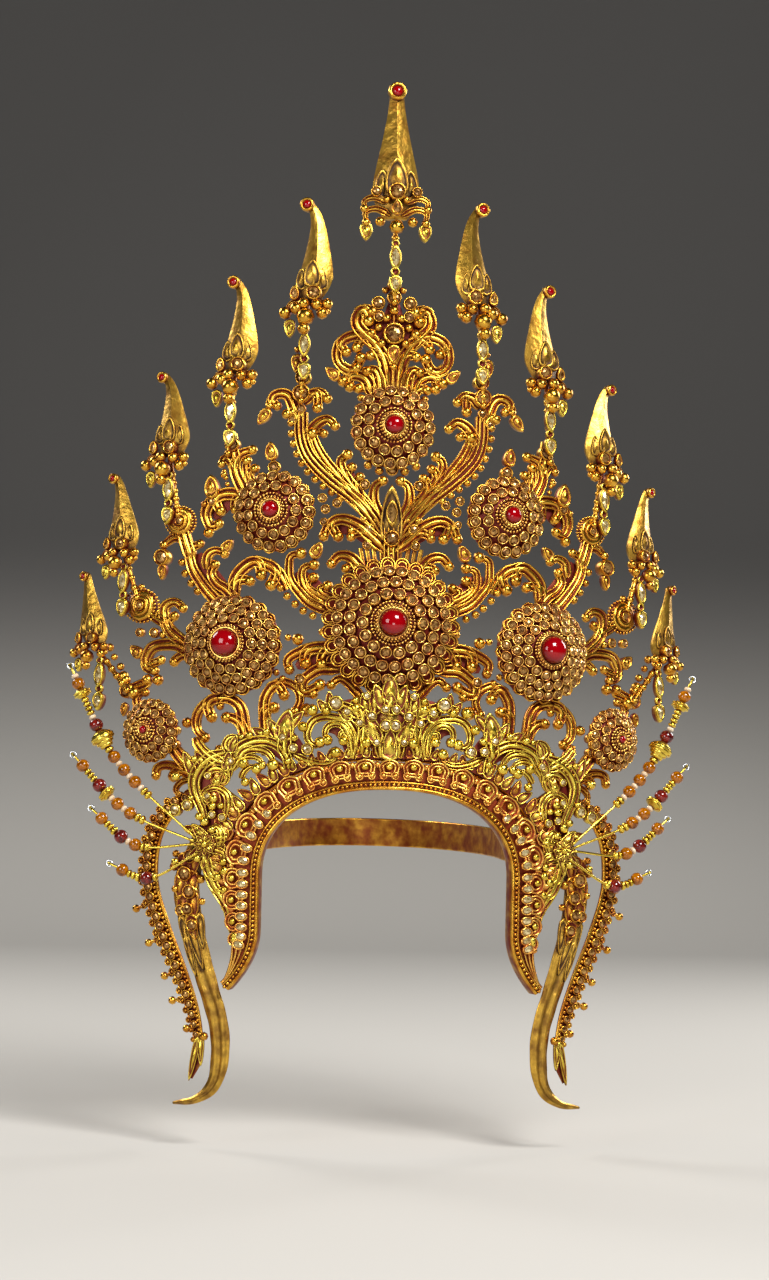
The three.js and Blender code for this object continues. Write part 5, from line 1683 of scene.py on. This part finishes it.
# Profiles of beads as shares of length and radius
BEAD_PROFILES = {
    "round": [
        (0, 0.3), (0.06, 0.55), (0.2, 0.85), (0.4, 1), (0.6, 1), (0.8, 0.85), (0.94, 0.55), (1, 0.3),
    ],
    "disc": [
        (0, 0.35), (0.1, 0.62), (0.24, 0.7), (0.3, 0.97), (0.38, 1), (0.46, 0.86), (0.54, 0.86),
        (0.62, 1), (0.7, 0.97), (0.76, 0.7), (0.9, 0.62), (1, 0.35),
    ],
    "bicone": [
        (0, 0.35), (0.04, 0.5), (0.12, 0.56), (0.2, 0.5), (0.26, 0.72), (0.33, 0.74), (0.38, 0.66),
        (0.44, 0.94), (0.5, 1), (0.56, 0.92), (0.6, 0.98), (0.68, 0.96), (0.74, 0.82), (0.79, 0.84),
        (0.86, 0.66), (1, 0.35),
    ],
}
BEAD_SIDES = 14


def swept_profile(line, stations, sides):
    """Rings round a line in space, with a radius at each station along it."""
    along = along_line(line)
    at, radii = np.array(stations).T
    centre, ahead, behind = (
        np.stack([np.interp(at + shift * MM, along, column) for column in line.T], -1)
        for shift in (0, 0.5, -0.5)
    )
    tangent = ahead - behind
    tangent /= np.linalg.norm(tangent, axis=1, keepdims=True)
    across = np.cross((0, 0, 1), tangent)
    across /= np.linalg.norm(across, axis=1, keepdims=True)
    up = np.cross(tangent, across)
    spokes = circle(sides)[None, :, :, None] * np.stack((across, up), 1)[:, None]
    return centre[:, None] + radii[:, None, None] * spokes.sum(2)


def wire_line(start, through, tip):
    """The wire's way from the hub to its tip in the plane that lies against the face at the hub."""
    angle = math.radians(start)
    reach = HUB_RADIUS + 0.3
    root = (HUB[0] + reach * math.cos(angle), HUB[1] + reach * math.sin(angle))
    path = smooth([root, through, tip], 2)
    hub = face(*HUB, WIRE_LIFT)[0]
    slope = HUB[0] / math.sqrt(FACE_RADIUS**2 - HUB[0]**2)
    out = path[:, 0] - HUB[0]
    return hub + MM * np.column_stack((out, slope * out, path[:, 1] - HUB[1]))


def rod(line, radius, stations, sides, metal):
    """A plain wire along a line in space."""
    length_along = along_line(line)[-1]
    rings = swept_profile(line, [(at, radius * MM) for at in np.linspace(0, length_along, stations)], sides)
    return with_finish(loft("rod", rings, np.zeros((stations, sides))), metal)


def bead_meshes(line, kinds):
    """The beads on a wire, each turned in its own finish, the wire under them and the loop at its end."""
    strung = sum(BEADS[kind].length for kind in kinds) * MM
    at = along_line(line)[-1] - strung - WIRE_END * MM
    made = []
    for kind in kinds:
        bead = BEADS[kind]
        profile = BEAD_PROFILES.get(kind, BEAD_PROFILES["round"])
        stations = [(at + share * bead.length * MM, radius * bead.radius * MM) for share, radius in profile]
        rings = swept_profile(line, stations, BEAD_SIDES)
        # Patina with painted shade: gilt beads darken where they narrow towards the wire and their neighbours
        patina_and_shade_level = np.tile([[0.6 * (1 - radius)] for _, radius in profile], (1, BEAD_SIDES))
        made.append(with_finish(loft("bead", rings, patina_and_shade_level), bead.finish))
        at += bead.length * MM
    made.append(rod(line, WIRE_RADIUS, WIRE_STATIONS, WIRE_SIDES, "bright_gilt"))
    end, before = line[-1], line[-3]
    outward = (end - before) / np.linalg.norm(end - before)
    side = np.cross(outward, (0, -1, 0))
    side /= np.linalg.norm(side)
    angle = np.linspace(LOOP_OPEN, 2 * math.pi - LOOP_OPEN, LOOP_STATIONS)[:, None]
    centre = end - 0.6 * LOOP_RADIUS * MM * outward
    loop = centre + LOOP_RADIUS * MM * (np.sin(angle) * side - np.cos(angle) * outward)
    made.append(rod(loop, LOOP_WIRE, LOOP_STATIONS, LOOP_SIDES, "silver"))
    return made


def make_bead_wires():
    """The four strings of beads at each ear."""
    for word, side in SIDES.items():
        for name, (start, through, tip, beads) in BEAD_WIRES.items():
            line = wire_line(start, through, tip) * (side, 1, 1)
            made = bead_meshes(line, beads.split())
            piece(f"bead_wire_{word}_{name}_strung", made, [f"bead_wire_{word}_{name}"])


# Ears: the blade and the strand as x, z and width down their middles

BLADE = [
    (112, 4, 10), (120, -25, 15), (116, -54, 14), (107, -85, 12), (99, -113, 11.5), (98, -135, 10.5),
    (102, -151, 8), (112, -160, 5), (125, -163, 2),
]
BLADE_LIFT = 6.2
BLADE_STEP = 1.6
BLADE_ACROSS = 15
BLADE_THICKNESS = 0.9
# Height below which the blade's folds lose their darkening and a band of painted dark reflection runs down
# its inner part, and over what drop that change grows
BLADE_PAINTED_SHADE_FROM = -62
BLADE_PAINTED_SHADE_OVER = 40
STRAND = [
    (115, 29, 6), (128, 24, 9), (140, 4, 10), (142, -25, 10), (134, -53, 10), (123, -80, 9),
    (115, -103, 8), (111, -122, 6), (111, -134, 6), (115, -147, 2),
]
STRAND_LIFT = 6.2
# Ball spurs outside the strand as their two ends
SPURS = [
    ((139, -38), (150, -43)), ((131, -59), (142, -64)), ((122, -80), (132, -84)),
    ((116, -97), (127, -99)), ((111, -113), (118, -116)),
]
# The strand's leaf tips as x, z, half width, half length, clockwise turn, and the ball above them
STRAND_TIPS = [(113, -134, 2.7, 15, 168), (109, -128, 2.7, 11, 182)]
STRAND_BALL = (107, -120, 2.8)
# Height above which the strand has its bead row and bosses, and how many points lie between bosses
STRAND_BOSSES_FROM = -120
STRAND_BOSS_STEP = 4
# Bosses and balls at the top of the blade as x, z, radius
BLADE_BOSSES = [
    (117, -8, 4.6), (120, -19, 5), (117, -30, 4.8), (118, -41, 4.4), (122, -42, 3.8), (115, -51, 4),
]
BLADE_BALLS = [
    (127, -15, 3), (126, -29, 2.6), (111, -22, 3.1), (126, -7, 2.6), (110, -36, 2.4),
]
# Leaf scales over the top of the blade as x, z, half width, half length, clockwise turn
BLADE_SCALES = [
    (115, -12, 5, 9, 172), (122, -14, 5, 9, 168), (116, -25, 5, 9, 180), (123, -27, 5, 9, 176),
    (115, -38, 5, 9, 190), (121, -40, 5, 9, 186), (115, -52, 5, 9, 196),
]
# Long leaves from under the scales down the blade
BLADE_LEAVES = [
    (119, -58, 3.6, 15, 196), (113, -63, 3.8, 17, 200), (110, -54, 3.2, 12, 188), (116, -70, 3, 14, 197),
]


def blade_leaf(side):
    """A long crinkled leaf with folds along it, hooked at its tip."""
    table = smooth(BLADE, BLADE_STEP)
    angle = headings(table)
    across = np.stack((-np.sin(angle), np.cos(angle)), -1)
    shares = np.linspace(-1, 1, BLADE_ACROSS)
    rings, patina = [], []
    for k, (x, z, width) in enumerate(table):
        fold = -np.cos(2 * math.pi * shares + 0.35 * math.sin(k * 0.21)) * (1 - shares**4)
        crown = (1 - shares**2) * (1.2 + 0.15 * math.sin(k * 0.83))
        top = BLADE_LIFT + crown + 0.95 * fold * min(1, width / 10)
        edge = 0.12 * math.sin(k * 0.57) * np.sign(shares) * (np.abs(shares) > 0.9)
        place = np.array((x, z)) + across[k] * (shares[:, None] * width / 2 + edge[:, None])
        front = np.column_stack((place, top))
        back = np.column_stack((place, top - BLADE_THICKNESS))[::-1]
        rings.append((np.vstack((front, back)) * (side, 1, 1))[::side])
        # Painted shade: above that height the troughs of the folds are darkened, as tarnish and painted
        # shade; below it a band of painted dark reflection runs down the inner part
        low = np.clip((BLADE_PAINTED_SHADE_FROM - z) / BLADE_PAINTED_SHADE_OVER, 0, 1)
        dark = 0.45 * ((shares < 0.5) & (shares > -0.9))
        patina_and_shade_level = (1 - low) * (0.4 - 0.4 * fold) + low * dark
        patina.append(np.concatenate((patina_and_shade_level, np.full(BLADE_ACROSS, 0.7)))[::side])
    return bend(with_finish(loft("blade", np.array(rings), np.array(patina)), "flame_gilt"))


def make_blade(word, side):
    """The hooked leaf under leaf scales and a column of bosses."""
    work = Goldwork("gilt", (side,))
    work.leaves(BLADE_SCALES, BLADE_LIFT + 1.4, 3)
    work.leaves(BLADE_LEAVES, BLADE_LIFT + 1.2, 2.6, "flame_gilt")
    for x, z, radius in BLADE_BOSSES:
        work.gem(x, z, BLADE_LIFT + 2.2, radius)
    work.balls(BLADE_BALLS, BLADE_LIFT + 1.6)
    piece(f"ear_blade_{word}_leaf", [blade_leaf(side), *work.meshes()], [f"ear_blade_{word}"])


def make_strand(word, side):
    """A curved strip: a wire and bead row on its inner edge, bosses outside, ball spurs and leaf tips."""
    work = Goldwork("gilt", (side,))
    table = smooth(STRAND, BLADE_STEP)
    path, half = table[:, :2], table[:, 2] / 2
    used = path[:, 1] > STRAND_BOSSES_FROM
    work.strip("plate", path, half * 0.92, STRAND_LIFT - 0.6)
    work.strip("wire", offset(path, -half * 0.86)[used], 1.0, STRAND_LIFT + 0.9)
    work.bead_row(offset(path, -half * 0.5)[used], STRAND_LIFT + 1, 1.3, 2.8)
    for k in range(STRAND_BOSS_STEP, int(used.sum()), STRAND_BOSS_STEP):
        boss = offset(path, half * 0.12)[k]
        work.gem(*boss, STRAND_LIFT + 1.4, min(3.4, half[k] * 0.7))
        edge = offset(path, half * 0.86)[k + STRAND_BOSS_STEP // 2]
        work.set("ring", *edge, STRAND_LIFT + 1.2, min(2.7, half[k] * 0.56))
        work.set("ball", *edge, STRAND_LIFT + 1.4, 1.3)
    for start, end in SPURS:
        work.strip("wire", evenly([start, end], 2), 1.0, STRAND_LIFT)
        work.set("ball", *end, STRAND_LIFT, 2.7)
        middle = np.array(start) * 0.45 + np.array(end) * 0.55
        work.set("ring", *middle, STRAND_LIFT + 0.8, 2.2)
    work.leaves(STRAND_TIPS, STRAND_LIFT + 0.6, 2.6, "bright_gilt")
    work.balls([STRAND_BALL], STRAND_LIFT + 1.4)
    piece(f"ear_strand_{word}_bosses", work.meshes(), [f"ear_strand_{word}"])


# Hubs

HUB_LIFT = 11.6
HUB_LEAVES = 8
HUB_LEAF_REACH = 3.6
HUB_LEAF = (2.3, 3.8, 2.6)
HUB_BALL = 2.4


def make_hub(word, side):
    """A leafy knot that the bead wires spread from."""
    work = Goldwork("bright_gilt", (side,))
    work.set("disc", *HUB, HUB_LIFT + 0.7, (HUB_RADIUS, HUB_RADIUS, 0.9))
    for out, up in circle(HUB_LEAVES):
        x, z = HUB[0] + HUB_LEAF_REACH * out, HUB[1] + HUB_LEAF_REACH * up
        work.set("leaf", x, z, HUB_LIFT + 1.6, HUB_LEAF, math.degrees(math.atan2(out, up)))
    work.set("ball", *HUB, HUB_LIFT + 2.8, HUB_BALL)
    piece(f"ear_hub_{word}_knob", work.meshes(), [f"ear_hub_{word}"])


def make_ears():
    """The hub, blade and strand at each ear."""
    for word, side in SIDES.items():
        make_hub(word, side)
        make_blade(word, side)
        make_strand(word, side)


# Back band: straight arms from behind the petals, and half an ellipse round the back

BAND_HEIGHT = 18
BAND_HALF_WIDTH = 80
BAND_STRAIGHT = -40
BAND_BACK = 98
BAND_FOOT = 86.5
BAND_FOOT_LIFT = 7.6
# The rolled upper edge as distance out of the strip, height past its edge, and patina with painted shade
BAND_EDGE = [
    (-0.9, -1, 0.7), (-1.2, 0, 0.2), (0.2, 0.3, 0), (1.3, 0, 0.1), (1.3, -1.4, 0.3), (0.6, -2.2, 0.9),
    (0.9, -3, 0.3),
]


def make_band():
    """A plain gilt strip with rolled edges."""
    angle = np.linspace(0, math.pi, 90)
    depth = BAND_BACK - BAND_STRAIGHT
    arc = np.stack((BAND_HALF_WIDTH * np.cos(angle), BAND_STRAIGHT + depth * np.sin(angle)), -1)
    foot = face(BAND_FOOT, 0, BAND_FOOT_LIFT)[0][:2] / MM
    arm = np.linspace(foot, arc[0], 14)[:-1]
    line = np.vstack((arm, arc, (arm * (-1, 1))[::-1]))
    tangent = np.gradient(line, axis=0)
    tangent /= np.linalg.norm(tangent, axis=1, keepdims=True)
    outward = np.stack((tangent[:, 1], -tangent[:, 0]), -1)
    upper = [(out, BAND_HEIGHT / 2 + rise, patina_and_shade_level) for out, rise, patina_and_shade_level in BAND_EDGE]
    lower = [(out, -z, patina_and_shade_level) for out, z, patina_and_shade_level in reversed(upper)]
    section = lower[-1:] + upper + lower[:-1]
    rings = np.array([
        [(x + nx * out, y + ny * out, z) for out, z, _ in section] for (x, y), (nx, ny) in zip(line, outward)
    ]) * MM
    band = loft("band", rings, np.tile([patina_and_shade_level for _, _, patina_and_shade_level in section], (len(rings), 1)))
    piece("head_band", [with_finish(band, "gilt")], ["back_band"])


# Stage

PHOTO_HEIGHT = 0.8
CAMERA_DISTANCE = 2.3
CAMERA_TARGET = (-0.0034, -0.09, 0.13)
CAMERA_YAW = math.radians(4.76)
CAMERA_ROLL = math.radians(-1.32)
SENSOR = 36
# The floor's half width, where it starts and where it bends up into a backdrop, in metres
FLOOR_REACH = 4
FLOOR_BEND_FROM = 1.4
FLOOR_BEND = 0.6
BACKDROP_HEIGHT = 4
WORLD_COLOUR = "#8C8A88"
WORLD_STRENGTH = 0.09
# Soft boxes as name, place, size, power and what they aim at
LIGHTS = [
    ("key", (0.75, -1.4, 1.5), 0.7, 52, (0, 0, 0.14)),
    ("fill", (-1.3, -1.4, 0.6), 0.8, 15, (0, 0, 0.1)),
    ("rim_left", (-1.0, 0.75, 0.9), 0.6, 14, (0, 0, 0.15)),
    ("rim_right", (1.1, 0.7, 0.6), 0.6, 12, (0, 0, 0.1)),
    ("front", (0.05, -2.2, -0.1), 0.6, 7, (0, 0, 0.1)),
]


def aim(obj, place, target):
    direction = Vector(target) - Vector(place)
    obj.location = place
    obj.rotation_euler = direction.to_track_quat("-Z", "Y").to_euler()


def make_stage():
    """A pale floor that sweeps up into a backdrop, soft boxes and the camera."""
    scene = bpy.context.scene
    curve = [
        (FLOOR_BEND_FROM + FLOOR_BEND * math.sin(angle), FLOOR_BEND * (1 - math.cos(angle)))
        for angle in np.linspace(0, math.pi / 2, 16)
    ]
    sweep = [(-FLOOR_REACH, 0), *curve, (FLOOR_BEND_FROM + FLOOR_BEND, BACKDROP_HEIGHT)]
    points = [(side * FLOOR_REACH, y, FLOOR_HEIGHT + z) for y, z in sweep for side in BOTH]
    faces = [(k, k + 1, k + 3, k + 2) for k in range(0, len(points) - 2, 2)]
    floor = bpy.data.objects.new("floor", with_finish(new_mesh("floor", points, faces), "floor"))
    scene.collection.objects.link(floor)
    for name, place, size, power, target in LIGHTS:
        lamp = bpy.data.lights.new(name, "AREA")
        lamp.size = size
        lamp.energy = power
        obj = bpy.data.objects.new(name, lamp)
        aim(obj, place, target)
        scene.collection.objects.link(obj)
    world = bpy.data.worlds.new("studio")
    world.use_nodes = True
    background = world.node_tree.nodes["Background"]
    background.inputs["Color"].default_value = linear(WORLD_COLOUR)
    background.inputs["Strength"].default_value = WORLD_STRENGTH
    scene.world = world
    scene.view_settings.view_transform = "Standard"
    camera = bpy.data.cameras.new("camera")
    camera.sensor_fit = "VERTICAL"
    camera.sensor_height = SENSOR
    camera.lens = SENSOR * CAMERA_DISTANCE / PHOTO_HEIGHT
    obj = bpy.data.objects.new("camera", camera)
    view = Vector((math.sin(CAMERA_YAW), math.cos(CAMERA_YAW), 0))
    obj.location = Vector(CAMERA_TARGET) - CAMERA_DISTANCE * view
    obj.rotation_euler = (math.pi / 2, CAMERA_ROLL, -CAMERA_YAW)
    scene.collection.objects.link(obj)
    scene.camera = obj


# Operators and panel


class CrownOperator:
    """What the crown's operators share."""

    bl_options = {"REGISTER", "UNDO"}

    def execute(self, context):
        self.make()
        return {"FINISHED"}


class CROWN_OT_rim(CrownOperator, bpy.types.Operator):
    """Make the rim round the face opening"""

    bl_idname = "crown.rim"
    bl_label = "Rim"
    make = staticmethod(make_rim)


class CROWN_OT_petals(CrownOperator, bpy.types.Operator):
    """Make the band of petals along the rim"""

    bl_idname = "crown.petals"
    bl_label = "Petal band"
    make = staticmethod(make_petals)


class CROWN_OT_lattice(CrownOperator, bpy.types.Operator):
    """Make the scrollwork panel"""

    bl_idname = "crown.lattice"
    bl_label = "Lattice"
    make = staticmethod(make_lattice)


class CROWN_OT_crest(CrownOperator, bpy.types.Operator):
    """Make the bright openwork above the petals"""

    bl_idname = "crown.crest"
    bl_label = "Crest"
    make = staticmethod(make_crest)


class CROWN_OT_rosettes(CrownOperator, bpy.types.Operator):
    """Make the rosettes and their rubies"""

    bl_idname = "crown.rosettes"
    bl_label = "Rosettes and rubies"
    make = staticmethod(make_rosettes)


class CROWN_OT_spires(CrownOperator, bpy.types.Operator):
    """Make the spires and their drops"""

    bl_idname = "crown.spires"
    bl_label = "Spires and drops"
    make = staticmethod(make_spires)


class CROWN_OT_bead_wires(CrownOperator, bpy.types.Operator):
    """Make the strings of beads at the ears"""

    bl_idname = "crown.bead_wires"
    bl_label = "Bead wires"
    make = staticmethod(make_bead_wires)


class CROWN_OT_ears(CrownOperator, bpy.types.Operator):
    """Make the hubs, blades and strands at the ears"""

    bl_idname = "crown.ears"
    bl_label = "Ear ornaments"
    make = staticmethod(make_ears)


class CROWN_OT_band(CrownOperator, bpy.types.Operator):
    """Make the plain band round the back of the head"""

    bl_idname = "crown.band"
    bl_label = "Head band"
    make = staticmethod(make_band)


class CROWN_OT_stage(CrownOperator, bpy.types.Operator):
    """Make the floor, lights and camera"""

    bl_idname = "crown.stage"
    bl_label = "Stage"
    make = staticmethod(make_stage)


OPERATORS = (
    CROWN_OT_rim, CROWN_OT_petals, CROWN_OT_lattice, CROWN_OT_crest, CROWN_OT_rosettes, CROWN_OT_spires,
    CROWN_OT_bead_wires, CROWN_OT_ears, CROWN_OT_band, CROWN_OT_stage,
)


class CROWN_PT_panel(bpy.types.Panel):
    """Lists the crown's pieces and settings in the sidebar"""

    bl_label = "Apsara crown"
    bl_idname = "CROWN_PT_panel"
    bl_space_type = "VIEW_3D"
    bl_region_type = "UI"
    bl_category = "Crown"

    def draw(self, context):
        for operator in OPERATORS:
            self.layout.operator(operator.bl_idname)
        for group in (context.scene.crown_sizes, context.scene.crown_colours):
            box = self.layout.box()
            for name in group.__annotations__:
                box.prop(group, name)


CLASSES = (CrownColours, CrownSizes, *OPERATORS, CROWN_PT_panel)


def register():
    for cls in CLASSES:
        bpy.utils.register_class(cls)
    bpy.types.Scene.crown_colours = bpy.props.PointerProperty(type=CrownColours)
    bpy.types.Scene.crown_sizes = bpy.props.PointerProperty(type=CrownSizes)


def unregister():
    del bpy.types.Scene.crown_sizes
    del bpy.types.Scene.crown_colours
    for cls in reversed(CLASSES):
        bpy.utils.unregister_class(cls)


def main():
    register()
    bpy.ops.crown.stage()
    bpy.ops.crown.rim()
    bpy.ops.crown.petals()
    bpy.ops.crown.lattice()
    bpy.ops.crown.crest()
    bpy.ops.crown.rosettes()
    bpy.ops.crown.spires()
    bpy.ops.crown.bead_wires()
    bpy.ops.crown.ears()
    bpy.ops.crown.band()
    for pattern in _shapes.values():
        bpy.data.objects.remove(pattern)


if __name__ == "__main__":
    main()
